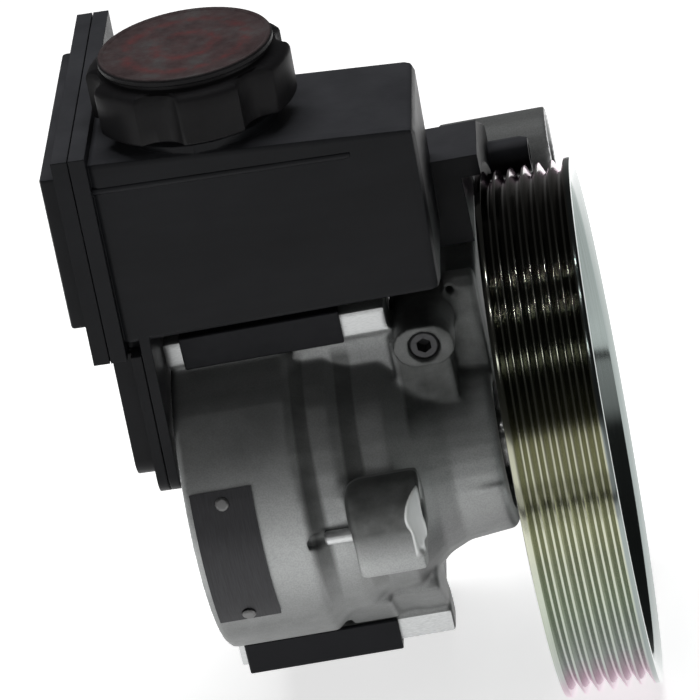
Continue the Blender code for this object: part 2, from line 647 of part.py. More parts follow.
    gallery = make.rod("gallery", GALLERY_R, CHAMBER_X - STATION, VALVE_X, GALLERY_YZ, steps=12)
    riser = make.rod("gallery_riser", GALLERY_R, GALLERY_YZ[1], VALVE_Z, (VALVE_X, GALLERY_YZ[0]),
                     matrix=UPRIGHT, steps=12)
    lug_hole = make.rod("lug_hole", LUG_HOLE_R, LUG_EDGE[0] - 4 * STATION,
                        LUG_EDGE[1] + 3 * STATION, (LUG_TOP - LUG_HOLE_DROP, LUG_HOLE_X),
                        matrix=ALONG_Y, steps=12)
    make.cut(body, bolt_hole, pin_hole, valve_bore, lug_hole, riser, gallery, inlet)
    for i, turn in enumerate(RIVET_ARC):
        hole = make.rod("rivet_hole_%d" % (i + 1), RIVET_R * 0.6 + SEAT, BARREL_R - 4 * MM,
                        BARREL_R + STATION, matrix=rivet_place(turn), steps=12)
        make.cut(body, hole)
    make.cut(body, bores)


def make_locating_pin(make):
    make.rod("locating_pin", PIN_R, PIN_X[0], PIN_X[1], PIN_YZ, bright_steel, steps=16)


def make_end_cover(make):
    """Disc with a raised boss that is flush with the housing's rear face."""
    outer = CHAMBER_R - SEAT
    groove = O_RING_R * 2.1
    groove_x = COVER_X0 + COVER_THICK / 2
    make.turned("end_cover", [
        (0, COVER_X1),
        (outer, COVER_X1),
        (outer, groove_x + groove / 2 + GAP),
        (outer - groove, groove_x + groove / 2 + GAP),
        (outer - groove, groove_x - groove / 2 - GAP),
        (outer, groove_x - groove / 2 - GAP),
        (outer, COVER_X0),
        (COVER_BOSS_R + STATION, COVER_X0),
        (COVER_BOSS_R, 0.4 * MM),
        (COVER_BOSS_R - 0.4 * MM, 0),
        (0, 0),
    ], cast_aluminium, steps=FINE)
    make.o_ring("end_cover_o_ring", outer - O_RING_R - SEAT / 2, O_RING_R, groove_x, rubber,
                steps=FINE)


def split_ring(make, name, outer, inner, low, thick, gap_angle, matrix=ALONG_X):
    half = gap_angle / 2
    outline = arc(outer, half, math.tau - half, 26) + arc(inner, math.tau - half, half, 26)
    return make.prism(name, [outline], low, low + thick, dark_steel, matrix)


def make_retainers(make):
    split_ring(make, "end_cover_retaining_ring", CHAMBER_R + RETAINER_DEPTH - SEAT,
               CHAMBER_R - 4 * MM, COVER_X0 - GAP - RETAINER_THICK, RETAINER_THICK, 26 * DEG,
               spin(math.pi / 2))
    split_ring(make, "bearing_retaining_ring", BEARING_R + RETAINER_DEPTH - SEAT,
               BEARING_R - 1.6 * MM, BEARING_X1 + GAP, RETAINER_THICK - GAP, 34 * DEG,
               spin(math.pi / 2))
    split_ring(make, "rotor_circlip", SHAFT_R + 2 * MM, SHAFT_R - 0.6 * MM,
               REAR_PLATE_X1 - 1.5 * MM, 1.1 * MM, 60 * DEG, spin(math.pi / 2))


def make_preload_spring(make):
    """Dished spring between the end cover and the rear pressure plate."""
    outer = CHAMBER_R - SPRING_WALL[0]
    inner = CHAMBER_R - SPRING_WALL[1]
    make.turned("preload_spring", [
        (inner, SPRING_X1),
        (outer, SPRING_X0 + SPRING_SHEET),
        (outer, SPRING_X0),
        (inner, SPRING_X1 - SPRING_SHEET),
    ], bright_steel)


def make_pressure_plates(make):
    """Rear and front plates with inlet and outlet kidneys and holes for the dowels."""
    outer = CHAMBER_R - SEAT
    recess_r = SHAFT_R + 3 * MM
    for name, low in (("rear_pressure_plate", REAR_PLATE_X0),
                      ("front_pressure_plate", FRONT_PLATE_X0)):
        holes = [circle(SHAFT_R + 2 * RUN, 32)]
        for i in range(4):
            middle = (45 + 90 * i) * DEG
            holes.append(kidney(KIDNEY_R[0], KIDNEY_R[1], middle, KIDNEY_SPAN))
        for centre in in_ring(DOWEL_RING_R, 2):
            holes.append(circle(DOWEL_R + SEAT, 16, centre))
        plate = make.prism(name, [circle(outer, FINE)] + holes, low, low + PLATE_THICK,
                           bright_steel)
        if name == "rear_pressure_plate":
            recess = make.rod("circlip_recess", recess_r, REAR_PLATE_X1 - 2 * MM,
                              REAR_PLATE_X1 + STATION, steps=32)
            make.cut(plate, recess)


def make_cam_ring(make):
    """The ring with the two-lobed wall that the vanes sweep."""
    turns = [math.tau * i / 60 for i in range(60)]
    wall = [(cam_radius(t) * math.cos(t), cam_radius(t) * math.sin(t)) for t in turns]
    holes = [circle(DOWEL_R + SEAT, 16, centre) for centre in in_ring(DOWEL_RING_R, 2)]
    make.prism("cam_ring", [circle(CHAMBER_R - SEAT, FINE), wall] + holes, RING_X0, RING_X1,
               bright_steel)
    for i, centre in enumerate(in_ring(DOWEL_RING_R, 2)):
        make.rod("cartridge_dowel_%d" % (i + 1), DOWEL_R, REAR_PLATE_X0 + GAP,
                 FRONT_PLATE_X1 - GAP, centre, bright_steel, steps=16)


def vane_angle(i):
    return math.tau * i / VANES


def make_rotor(make):
    """Slotted rotor on the shaft, with a vane lying fully in each slot."""
    half = VANE_THICK / 2 + SLOT_SIDE
    floor_r = ROTOR_R - SLOT_SIDE - VANE_LENGTH - STATION
    bulb = half + 0.5 * MM
    outline = []
    mouth = math.asin(half / ROTOR_R)
    for i in range(VANES):
        turn = vane_angle(i)
        start = turn + mouth
        end = vane_angle(i + 1) - mouth
        outline += arc(ROTOR_R, start, end, 3)
        slot = [
            (floor_r + bulb, -half),
            (floor_r + bulb * 0.6, -bulb),
            (floor_r, -half * 0.6),
            (floor_r, half * 0.6),
            (floor_r + bulb * 0.6, bulb),
            (floor_r + bulb, half),
        ]
        nxt = vane_angle(i + 1)
        outline += [(r * math.cos(nxt) - s * math.sin(nxt), r * math.sin(nxt) + s * math.cos(nxt))
                    for r, s in slot]
    low = RING_X0 + 2 * RUN
    high = RING_X1 - 2 * RUN
    make.prism("rotor", [outline, circle(SHAFT_R + SEAT, 32)], low, high, bright_steel)

    inner = ROTOR_R - SLOT_SIDE - VANE_LENGTH
    for i in range(VANES):
        place = Matrix.Rotation(vane_angle(i), 4, "X")
        vane = make.box("vane_%02d" % (i + 1), (low, inner, -VANE_THICK / 2),
                        (high, inner + VANE_LENGTH - GAP, VANE_THICK / 2), dark_steel, place)
        tip = make.rod("vane_tip_%02d" % (i + 1), VANE_THICK / 2, low, high,
                       (inner + VANE_LENGTH - VANE_THICK / 2, 0), matrix=place @ ALONG_X, steps=8)
        make.join(vane, tip)


def make_shaft(make):
    clip_r = SHAFT_R - 0.9 * MM
    clip_x = REAR_PLATE_X1 - 1.5 * MM
    make.turned("drive_shaft", [
        (0, SHAFT_END_X),
        (SHAFT_R - STATION, SHAFT_END_X),
        (SHAFT_R, SHAFT_END_X - STATION),
        (SHAFT_R, clip_x + 1.1 * MM + GAP),
        (clip_r, clip_x + 1.1 * MM + GAP),
        (clip_r, clip_x - GAP),
        (SHAFT_R, clip_x - GAP),
        (SHAFT_R, REAR_PLATE_X0 + STATION),
        (SHAFT_R - STATION, REAR_PLATE_X0 + GAP),
        (0, REAR_PLATE_X0 + GAP),
    ], bright_steel)


def make_bush_and_seal(make):
    make.ring("shaft_bush", BUSH_R, SHAFT_R + RUN, BUSH_X0, BUSH_X1, bronze)
    lip_x = SEAL_X0 + SEAL_LENGTH * 0.35
    make.turned("shaft_seal", [
        (SEAL_R, SEAL_X1),
        (SEAL_R, SEAL_X0),
        (SEAL_R - 1.4 * MM, SEAL_X0),
        (SEAL_R - 1.4 * MM, SEAL_X1 - 1.6 * MM),
        (SHAFT_R + 1.6 * MM, SEAL_X1 - 1.8 * MM),
        (SHAFT_R + 1.4 * MM, lip_x - 0.8 * MM),
        (SHAFT_R + 2 * RUN, lip_x),
        (SHAFT_R + 0.9 * MM, SEAL_X1),
    ], rubber)


def race(make, name, outer, inner, groove_outside):
    """A bearing race with its ball track on the outer or the inner side."""
    track = BALL_R + TRACK_ROOM
    face = outer if groove_outside else inner
    edge = math.acos(abs(face - BALL_RING_R) / track)
    turns = [edge * share for share in (1, 1 / 3, -1 / 3, -1)]
    if groove_outside:
        profile = [(outer, BEARING_X1)]
        profile += [(BALL_RING_R - track * math.cos(t), BEARING_MID_X + track * math.sin(t))
                    for t in turns]
        profile += [(outer, BEARING_X0), (inner, BEARING_X0), (inner, BEARING_X1)]
    else:
        profile = [(outer, BEARING_X1), (outer, BEARING_X0), (inner, BEARING_X0)]
        profile += [(BALL_RING_R + track * math.cos(t), BEARING_MID_X - track * math.sin(t))
                    for t in turns]
        profile += [(inner, BEARING_X1)]
    make.turned(name, profile, bright_steel)


def make_bearing(make):
    """Ball bearing: two races, a cage with round pockets, and the balls."""
    race(make, "bearing_outer_race", BEARING_R, BEARING_R - BEARING_WALL, False)
    race(make, "bearing_inner_race", SHAFT_R + BEARING_WALL, SHAFT_R + SEAT, True)
    cage_half = BALL_R + 1.2 * MM
    cage = make.ring("bearing_cage", BALL_RING_R + 0.9 * MM, BALL_RING_R - 0.9 * MM,
                     BEARING_MID_X - cage_half, BEARING_MID_X + cage_half, bronze)
    for i in range(BALLS):
        turn = math.tau * i / BALLS
        place = Matrix.Rotation(turn, 4, "X")
        pocket = make.rod("ball_pocket_%d" % (i + 1), BALL_R + 2 * RUN, BALL_RING_R - BALL_R,
                          BALL_RING_R + BALL_R, (0, BEARING_MID_X), matrix=place @ ALONG_Y)
        make.cut(cage, pocket)
        shape = bmesh.new()
        bmesh.ops.create_icosphere(shape, subdivisions=2, radius=BALL_R)
        bmesh.ops.translate(shape, vec=(BEARING_MID_X, BALL_RING_R, 0), verts=shape.verts)
        make.from_bmesh("bearing_ball_%d" % (i + 1), shape, bright_steel, place)


def make_hub(make):
    """Flanged hub pressed on the shaft, with the screws that hold the pulley to it."""
    flange_x1 = WEB_X - GAP
    flange_x0 = flange_x1 - HUB_FLANGE
    hub = make.turned("pulley_hub", [
        (HUB_R, flange_x1),
        (HUB_R, flange_x0),
        (HUB_SLEEVE_R, flange_x0),
        (HUB_SLEEVE_R, NOSE_X + STATION),
        (SHAFT_R + SEAT, NOSE_X + STATION),
        (SHAFT_R + SEAT, flange_x1),
    ], bright_steel)
    head_x = WEB_X + WEB_THICK + GAP
    for i, centre in enumerate(in_ring(HUB_BOLT_RING_R, HUB_BOLTS, start=math.pi / 2)):
        hole = make.rod("hub_hole_%d" % (i + 1), HUB_BOLT_R + SEAT, flange_x0 - STATION,
                        flange_x1 + STATION, centre)
        make.cut(hub, hole)
        bolt = make.prism("pulley_bolt_%d" % (i + 1),
                          [circle(HUB_BOLT_HEX, 6, centre)],
                          head_x, head_x + HUB_BOLT_HEAD, dark_steel)
        shank = make.rod("pulley_bolt_shank_%d" % (i + 1), HUB_BOLT_R, flange_x0 + GAP,
                         head_x + HUB_BOLT_HEAD / 2, centre, steps=16)
        make.join(bolt, shank)


def groove_profile():
    """Belt track from the front flange to the rear flange, one V after another."""
    points = [(PULLEY_R, PULLEY_X[1])]
    width = GROOVES * GROOVE_PITCH
    front = (PULLEY_X[0] + PULLEY_X[1] + width) / 2
    slope = GROOVE_PITCH / 2 - GROOVE_FLAT
    crest = PULLEY_R - GROOVE_FLAT / 2
    floor = crest - GROOVE_DEPTH
    for i in range(GROOVES):
        start = front - i * GROOVE_PITCH - GROOVE_FLAT / 2
        points += [
            (PULLEY_R if i == 0 else crest, start),
            (floor, start - slope),
            (floor, start - slope - GROOVE_FLAT),
            (PULLEY_R if i == GROOVES - 1 else crest, start - 2 * slope - GROOVE_FLAT),
        ]
    points.append((PULLEY_R, PULLEY_X[0]))
    return points


def make_pulley(make):
    """Spun rim with six V grooves on a dished web, with windows and screw holes."""
    web_x1 = WEB_X + WEB_THICK
    corner = 3.0 * MM
    profile = groove_profile() + [
        (PULLEY_R - 1.6 * MM, PULLEY_X[0]),
        (RIM_INNER_R, PULLEY_X[0] + 1.4 * MM),
        (RIM_INNER_R, WEB_X - corner),
        (RIM_INNER_R - corner, WEB_X),
        (SHAFT_R + STATION, WEB_X),
        (SHAFT_R + STATION, web_x1),
        (RIM_INNER_R - corner, web_x1),
        (RIM_INNER_R, web_x1 + corner),
        (RIM_INNER_R, PULLEY_X[1] - 1.4 * MM),
        (PULLEY_R - 1.6 * MM, PULLEY_X[1]),
    ]
    pulley = make.turned("pulley", profile, zinc_plate, steps=FINE)
    for i in range(WEB_WINDOWS):
        middle = math.tau * (i + 0.5) / WEB_WINDOWS
        window = make.prism("web_window_%d" % (i + 1),
                            [kidney(WINDOW_R[0], WINDOW_R[1], middle, WINDOW_SPAN, 4)],
                            WEB_X - STATION, web_x1 + STATION)
        make.cut(pulley, window)
    for i, centre in enumerate(in_ring(HUB_BOLT_RING_R, HUB_BOLTS, start=math.pi / 2)):
        hole = make.rod("pulley_hole_%d" % (i + 1), HUB_BOLT_R + SEAT, WEB_X - STATION,
                        web_x1 + STATION, centre)
        make.cut(pulley, hole)


def make_flow_valve(make):
    """Plug, spring, spool and outlet union, in line in the cross bore."""
    bore = VALVE_BORE_R
    place = ALONG_Y @ Matrix.Translation((VALVE_Z, VALVE_X, 0))
    plug_y1 = VALVE_Y[0] + PLUG_LENGTH
    face = VALVE_Y[0] + PLUG_RECESS
    plug = make.turned("valve_plug", [
        (0, plug_y1),
        (bore - SEAT, plug_y1),
        (bore - SEAT, face + 2 * GAP),
        (bore - SEAT - 2 * GAP, face),
        (0, face),
    ], bright_steel, place, MEDIUM)
    socket = make.prism("plug_socket", [circle(PLUG_SOCKET_R, 6)], face - STATION,
                        face + PLUG_SOCKET_DEPTH, matrix=place)
    make.cut(plug, socket)

    union_y0 = VALVE_Y[1] - UNION_STEM
    spool_y1 = union_y0 - GAP
    spool_y0 = spool_y1 - SPOOL_LENGTH
    land = bore - RUN
    waist = bore - 1.6 * MM
    make.turned("flow_control_spool", [
        (0, spool_y1),
        (land - STATION, spool_y1),
        (land, spool_y1 - STATION),
        (land, spool_y1 - 5 * MM),
        (waist, spool_y1 - 6 * MM),
        (waist, spool_y0 + 7 * MM),
        (land, spool_y0 + 6 * MM),
        (land, spool_y0 + STATION),
        (land - STATION, spool_y0),
        (0, spool_y0),
    ], bright_steel, place, MEDIUM)

    coil = bpy.data.curves.new("flow_control_spring", "CURVE")
    coil.dimensions = "3D"
    coil.bevel_depth = SPRING_WIRE_R
    coil.bevel_resolution = 2
    coil.use_fill_caps = True
    spring_y0 = plug_y1 + GAP + SPRING_WIRE_R
    spring_y1 = spool_y0 - GAP - SPRING_WIRE_R
    per_turn = 10
    count = int(SPRING_TURNS * per_turn) + 1
    radius = bore - RUN * 3 - SPRING_WIRE_R
    spline = coil.splines.new("POLY")
    spline.points.add(count - 1)
    for i, point in enumerate(spline.points):
        turn = math.tau * i / per_turn
        share = i / (count - 1)
        y = spring_y0 + (spring_y1 - spring_y0) * share
        point.co = (radius * math.cos(turn), radius * math.sin(turn), y, 1)
    make.add("flow_control_spring", coil, bright_steel, place)

    head_y0 = VALVE_Y[1] + GAP
    union = make.prism("outlet_union", [circle(UNION_HEX, 6)], head_y0, head_y0 + UNION_HEAD,
                       bright_steel, place)
    stem = make.rod("union_stem", bore - SEAT, union_y0, head_y0 + STATION, (VALVE_Z, VALVE_X),
                    matrix=ALONG_Y, steps=COARSE)
    bore_tool = make.rod("union_bore", UNION_BORE_R, union_y0 - STATION,
                         head_y0 + UNION_HEAD + STATION, (VALVE_Z, VALVE_X), matrix=ALONG_Y)
    make.join(union, stem)
    make.cut(union, bore_tool)


def panel_outline(inset):
    """The rectangular part of the flange alone."""
    y0, y1 = FLANGE_Y
    z0, z1 = FLANGE_Z
    return [(y0 + inset, z0 + inset), (y1 - inset, z0 + inset), (y1 - inset, z1 - inset),
            (y0 + inset, z1 - inset)]


def lobe_outline(inset, top):
    """The lobe's section: straight flanks and rounded lower corners."""
    y0 = LOBE_Y[0] + inset
    y1 = LOBE_Y[1] - inset
    middle = inset - LOBE_DROP + LOBE_CORNER
    return [(y0, top)] + arc(
        LOBE_CORNER, math.pi, 1.5 * math.pi, 6, (y0 + LOBE_CORNER, middle)) + arc(
            LOBE_CORNER, 1.5 * math.pi, math.tau, 6, (y1 - LOBE_CORNER, middle)) + [(y1, top)]


def box_outline(inset, start):
    """Side outline of the drafted box, from a start station to its end wall."""
    slope = math.tan(TILT)
    end = BOX_LENGTH - inset
    return [(start, start * slope + inset), (end, end * slope + inset),
            (end, BOX_HEIGHT - end * slope - inset), (start, BOX_HEIGHT - start * slope - inset)]


def tower_outline(inset):
    front_y = BOX_Y[1] - 6 * MM + inset
    foot_z = BACK_STEP_Z + WALL + inset
    return [(front_y, foot_z), (TOWER_Y - inset, foot_z),
            (TOWER_Y - inset, TOWER_Z - TOWER_CHAMFER - inset),
            (TOWER_Y - TOWER_CHAMFER - inset, TOWER_Z - inset),
            (front_y, TOWER_Z - inset)]


def back_outline(inset):
    """Section of the low rear part: level near the box, then falling away to the back."""
    front_y = BACK_FRONT_Y + inset
    return [(front_y, BACK_STEP_Z + inset), (BACK_FLOOR_Y - inset, BACK_STEP_Z + inset),
            (BACK_FLOOR_Y + 2 * MM - inset, BACK_FLOOR_Z + inset),
            (BACK_Y - inset, BACK_FLOOR_Z + inset), (BACK_Y - inset, BACK_EDGE_Z - inset),
            (BACK_RIDGE_Y, BACK_TOP_Z - inset), (front_y, BACK_TOP_Z - inset)]


def make_reservoir_body(make):
    """One moulding: box, tower, low rear part, tank round the barrel, rails, neck and nipple."""
    lean_x = LEAN @ ALONG_X
    lean_side = LEAN @ SIDE_VIEW
    body = make.prism("reservoir_body", [box_outline(0, -STATION)], -BOX_Y[1], -BOX_Y[0],
                      black_plastic, lean_side)
    make.soften(body, BOX_EDGE)
    tower = make.prism("tower", [tower_outline(0)], BOX_ORIGIN[0] - 2 * STATION, TOWER_X)
    back = make.prism("back", [back_outline(0)], BOX_ORIGIN[0] - STATION, BACK_X)
    pulley_room = make.rod("pulley_room", PULLEY_R + PULLEY_ROOM, PULLEY_X[0] - PULLEY_ROOM,
                           PULLEY_X[1], steps=FINE)
    make.cut(back, pulley_room)
    tank = make.box("tank", (0, TANK_FRONT_Y, -RAIL_TOP), (TANK_X1, TANK_Y, BACK_STEP_Z + 4 * MM),
                    edge=2 * MM)
    flange = make.prism("flange", [panel_outline(0)], -FLANGE_THICK, 0, matrix=lean_x)
    lobe_back = LOBE_STEP - LOBE_FLANGE
    lobe = make.prism("lobe", [lobe_outline(0, WALL + STATION)], lobe_back, LOBE_STEP, matrix=lean_x)
    root = make.prism("lobe_root", [[
        (-STATION, FLANGE_Z[0]), (lobe_back + STATION, FLANGE_Z[0]),
        (lobe_back + STATION, WALL / 2), (-STATION, WALL / 2),
    ]], -ROOT_Y[1], -ROOT_Y[0], matrix=lean_side)
    neck_place = LEAN @ Matrix.Translation((NECK_X, NECK_Y, 0))
    bore = NECK_R - NECK_WALL
    neck = make.turned("neck", [
        (NECK_R, NECK_TOP),
        (NECK_R, BOX_HEIGHT + 0.8 * MM),
        (NECK_R + 2.5 * MM, BOX_HEIGHT + 0.8 * MM),
        (NECK_R + 2.5 * MM, BOX_HEIGHT - 14 * MM),
        (bore - 4 * MM, BOX_HEIGHT - 14 * MM),
        (bore - 4 * MM, BOX_HEIGHT - 2 * MM),
        (bore, BOX_HEIGHT - 2 * MM),
        (bore, NECK_TOP),
    ], matrix=neck_place)
    nipple = make.turned("nipple", [
        (NIPPLE_R - 0.6 * MM, NIPPLE_END_X),
        (NIPPLE_R, NIPPLE_END_X - 2 * MM),
        (NIPPLE_R, BACK_X - WALL / 2),
        (NIPPLE_BORE_R, BACK_X - WALL / 2),
        (NIPPLE_BORE_R, NIPPLE_END_X),
    ], matrix=ALONG_X @ Matrix.Translation((*NIPPLE_YZ, 0)), steps=COARSE)
    make.join(body, tower, back, tank, flange, lobe, root, neck, nipple)

    saddle = make.rod("saddle", BARREL_R + 2 * GAP, -STATION, TANK_X1 + STATION, steps=FINE)
    make.cut(body, saddle)
    for side, sign in (("upper", 1), ("lower", -1)):
        low = RAIL_BASE + 2 * GAP
        rail = make.prism(side + "_reservoir_rail", [[
            (GAP / 2, sign * low), (TANK_FRONT_Y + 2 * MM, sign * low),
            (TANK_FRONT_Y + 2 * MM, sign * (low + 2.2 * MM)), (8 * MM, sign * (low + 2.2 * MM)),
            (8 * MM, sign * RAIL_TOP), (GAP / 2, sign * RAIL_TOP),
        ]], 0, TANK_X1)
        make.join(body, rail)
    spigot = make.turned("spigot", [
        (SPIGOT_R, BARREL_R + WALL),
        (SPIGOT_R, SPIGOT_TIP_Y + 4 * O_RING_R),
        (SPIGOT_R - O_RING_R, SPIGOT_TIP_Y + 4 * O_RING_R),
        (SPIGOT_R - O_RING_R, SPIGOT_TIP_Y + 1.6 * O_RING_R),
        (SPIGOT_R, SPIGOT_TIP_Y + 1.6 * O_RING_R),
        (SPIGOT_R, SPIGOT_TIP_Y),
        (SPIGOT_BORE_R, SPIGOT_TIP_Y),
        (SPIGOT_BORE_R, BARREL_R + WALL),
    ], matrix=ALONG_Y @ Matrix.Translation((0, INLET_X, 0)), steps=COARSE)
    make.join(body, spigot)

    hollow = make.prism("box_hollow", [box_outline(WALL, -FLANGE_THICK - STATION)],
                        -BOX_Y[1] + WALL, -BOX_Y[0] - WALL, matrix=lean_side)
    tower_hollow = make.prism("tower_hollow", [tower_outline(WALL)],
                              BOX_ORIGIN[0] - FLANGE_THICK - 2 * WALL, TOWER_X - WALL)
    back_hollow = make.prism("back_hollow", [back_outline(WALL)],
                             BOX_ORIGIN[0] - FLANGE_THICK - 2 * WALL, PULLEY_X[0] - PULLEY_ROOM - WALL)
    tank_hollow = make.box("tank_hollow", (WALL, TANK_FRONT_Y + WALL, WALL - RAIL_TOP),
                           (TANK_X1 - WALL, TANK_Y - WALL, BACK_STEP_Z + 5 * MM))
    saddle_wall = make.rod("saddle_wall", BARREL_R + 2 * GAP + WALL, 0, TANK_X1, steps=FINE)
    make.cut(tank_hollow, saddle_wall)
    lobe_hollow = make.prism("lobe_hollow", [lobe_outline(LOBE_RIM, WALL + 2 * STATION)],
                             lobe_back - STATION, LOBE_STEP - LOBE_WALL, matrix=lean_x)
    neck_hollow = make.rod("neck_hollow", NECK_R - NECK_WALL - SEAT, BOX_HEIGHT - 20 * MM,
                           BOX_HEIGHT + GAP, matrix=neck_place, steps=MEDIUM)
    spigot_hollow = make.rod("spigot_hollow", SPIGOT_BORE_R - SEAT, BARREL_R + STATION,
                             BARREL_R + 2 * WALL, (0, INLET_X), matrix=ALONG_Y)
    nipple_hollow = make.rod("nipple_hollow", NIPPLE_BORE_R - SEAT,
                             PULLEY_X[0] - PULLEY_ROOM - 2 * WALL, BACK_X, NIPPLE_YZ)
    make.cut(body, hollow, tower_hollow, back_hollow, tank_hollow, lobe_hollow, neck_hollow,
             spigot_hollow, nipple_hollow)


def make_reservoir_cover(make):
    """Welded rear shell: flange and shallow box, stepping in to the bowl below them."""
    lean_x = LEAN @ ALONG_X
    lean_side = LEAN @ SIDE_VIEW
    inner = -FLANGE_THICK - GAP
    outer = inner - FLANGE_THICK
    cover = make.prism("reservoir_cover", [panel_outline(0)], outer, inner, black_plastic, lean_x)
    step = make.prism("cover_step", [panel_outline(COVER_STEP)], outer - COVER_DEPTH,
                      inner - STATION, matrix=lean_x)
    make.soften(step, STATION)
    lobe_inner = LOBE_STEP - LOBE_FLANGE - GAP
    lobe_outer = lobe_inner - LOBE_FLANGE
    top = FLANGE_Z[0] - GAP
    bridge = make.prism("lobe_bridge", [[
        (outer, top - BRIDGE_THICK), (lobe_outer + STATION, top - BRIDGE_THICK),
        (lobe_outer + STATION, top), (inner, top), (inner, top + GAP + STATION),
        (outer, top + GAP + STATION),
    ]], -ROOT_Y[1], -ROOT_Y[0], matrix=lean_side)
    rim = make.prism("lobe_cover", [lobe_outline(0, top)], lobe_outer, lobe_inner, matrix=lean_x)
    tip = lobe_outer - BOWL_DEPTH
    bowl = make.prism("bowl", [lobe_outline(BOWL_INSET, top - STATION / 2)], tip,
                      lobe_inner - STATION, matrix=lean_x)
    make.soften(bowl, BOWL_EDGE)
    make.join(cover, step, bridge, rim, bowl)
    hollow = make.prism("cover_hollow", [panel_outline(COVER_STEP + WALL)],
                        outer - COVER_DEPTH + WALL, inner + STATION, matrix=lean_x)
    bowl_hollow = make.prism("bowl_hollow", [lobe_outline(BOWL_INSET + WALL, top - WALL)],
                             tip + WALL, lobe_inner + STATION, matrix=lean_x)
    make.cut(cover, hollow, bowl_hollow)


def make_inlet_parts(make):
    place = ALONG_Y @ Matrix.Translation((0, INLET_X, 0))
    make.o_ring("inlet_o_ring", SPIGOT_R - O_RING_R + SEAT + O_RING_R, O_RING_R,
                SPIGOT_TIP_Y + 2.8 * O_RING_R, rubber, place, COARSE)
    inside_y = BARREL_R + 2 * GAP + WALL + GAP
    mesh_wall = 0.9 * MM
    top_y = TANK_Y - WALL - STATION
    strainer = make.turned("suction_strainer", [
        (0, top_y),
        (SPIGOT_R + STATION, top_y),
        (SPIGOT_R + 2 * MM, inside_y),
        (SPIGOT_R + 2 * MM - mesh_wall, inside_y),
        (SPIGOT_R + STATION - mesh_wall, top_y - mesh_wall),
        (0, top_y - mesh_wall),
    ], black_plastic, place, COARSE)
    window_y = (inside_y + top_y) / 2
    across = Matrix.Translation((INLET_X, window_y, 0))
    for i, turn in enumerate((0, 90)):
        window = make.rod("strainer_window_%d" % (i + 1), 2 * MM, -2 * SPIGOT_R, 2 * SPIGOT_R,
                          matrix=across @ Matrix.Rotation(turn * DEG, 4, "Y"), steps=12)
        make.cut(strainer, window)


def make_cap(make):
    """Screw cap with a scalloped skirt, its seal, and the dipstick under it."""
    place = LEAN @ Matrix.Translation((NECK_X, NECK_Y, 0))
    inside_r = NECK_R + CAP_ROOM
    ceiling = NECK_TOP + CAP_SEAT
    head_r, head_h = DIPSTICK_HEAD
    cap = make.turned("filler_cap", [
        (0, CAP_TOP),
        (CAP_DISC_R - 0.6 * MM, CAP_TOP),
        (CAP_DISC_R, CAP_TOP - 0.6 * MM),
        (CAP_DISC_R, CAP_TOP - 1.6 * MM),
        (CAP_DISC_R - 0.8 * MM, CAP_TOP - 2.0 * MM),
        (CAP_DISC_R - 0.8 * MM, CAP_TOP - 2.8 * MM),
        (CAP_DISC_R + 0.6 * MM, CAP_TOP - 3.4 * MM),
        (CAP_SKIRT_R - 0.8 * MM, CAP_SKIRT_Z[1]),
        (CAP_SKIRT_R, CAP_SKIRT_Z[1] - 1.2 * MM),
        (CAP_SKIRT_R, CAP_SKIRT_Z[0]),
        (inside_r, CAP_SKIRT_Z[0]),
        (inside_r, ceiling),
        (0, ceiling),
    ], black_plastic, place, FINE)
    reach = CAP_SKIRT_R + CAP_GRIP_R - CAP_GRIP_DEPTH
    for i, centre in enumerate(in_ring(reach, CAP_GRIPS, start=CAP_GRIP_TURN)):
        grip = make.rod("grip_%d" % (i + 1), CAP_GRIP_R, CAP_SKIRT_Z[0] - STATION,
                        CAP_TOP - 3.2 * MM, centre, matrix=place, steps=28)
        make.cut(cap, grip)
    make.ring("cap_seal", NECK_R, NECK_R - NECK_WALL, NECK_TOP + GAP, ceiling - GAP, rubber, place)
    make.turned("dipstick", [
        (0, ceiling - GAP),
        (head_r, ceiling - GAP),
        (head_r, ceiling - head_h),
        (DIPSTICK_R, ceiling - head_h - STATION),
        (DIPSTICK_R, ceiling - DIPSTICK_LENGTH + 2 * STATION),
        (DIPSTICK_R - STATION, ceiling - DIPSTICK_LENGTH),
        (0, ceiling - DIPSTICK_LENGTH),
    ], black_plastic, place, COARSE)


def make_clips(make):
    """Spring-steel channels that hold the reservoir's rails to the pump's rails."""
    for name, sign, start in (("retaining_clip_upper", 1, CLIP_X[0]),
                              ("retaining_clip_lower", -1, CLIP_X[1])):
        front = -RAIL_THICK - GAP
        back = 8 * MM + GAP
        top = RAIL_TOP + GAP
        section = [
            (front - CLIP_SHEET, sign * (top + CLIP_SHEET)),
            (back + CLIP_SHEET, sign * (top + CLIP_SHEET)),
            (back + CLIP_SHEET, sign * (top - 3.4 * MM)),
            (back, sign * (top - 3.4 * MM)),
            (back, sign * top),
            (front, sign * top),
            (front, sign * (top - CLIP_DROP)),
            (front - CLIP_SHEET, sign * (top - CLIP_DROP)),
        ]
        clip = make.prism(name, [section], start, start + CLIP_LENGTH, dark_steel)
        make.soften(clip, 0.35 * MM, 1)


def rivet_place(turn):
    """Frame whose Z axis points out of the barrel at the nameplate."""
    x = (PLATE_X[0] + PLATE_X[1]) / 2
    return Matrix.Translation((x, 0, 0)) @ Matrix.Rotation(math.pi / 2 - turn, 4, "X")


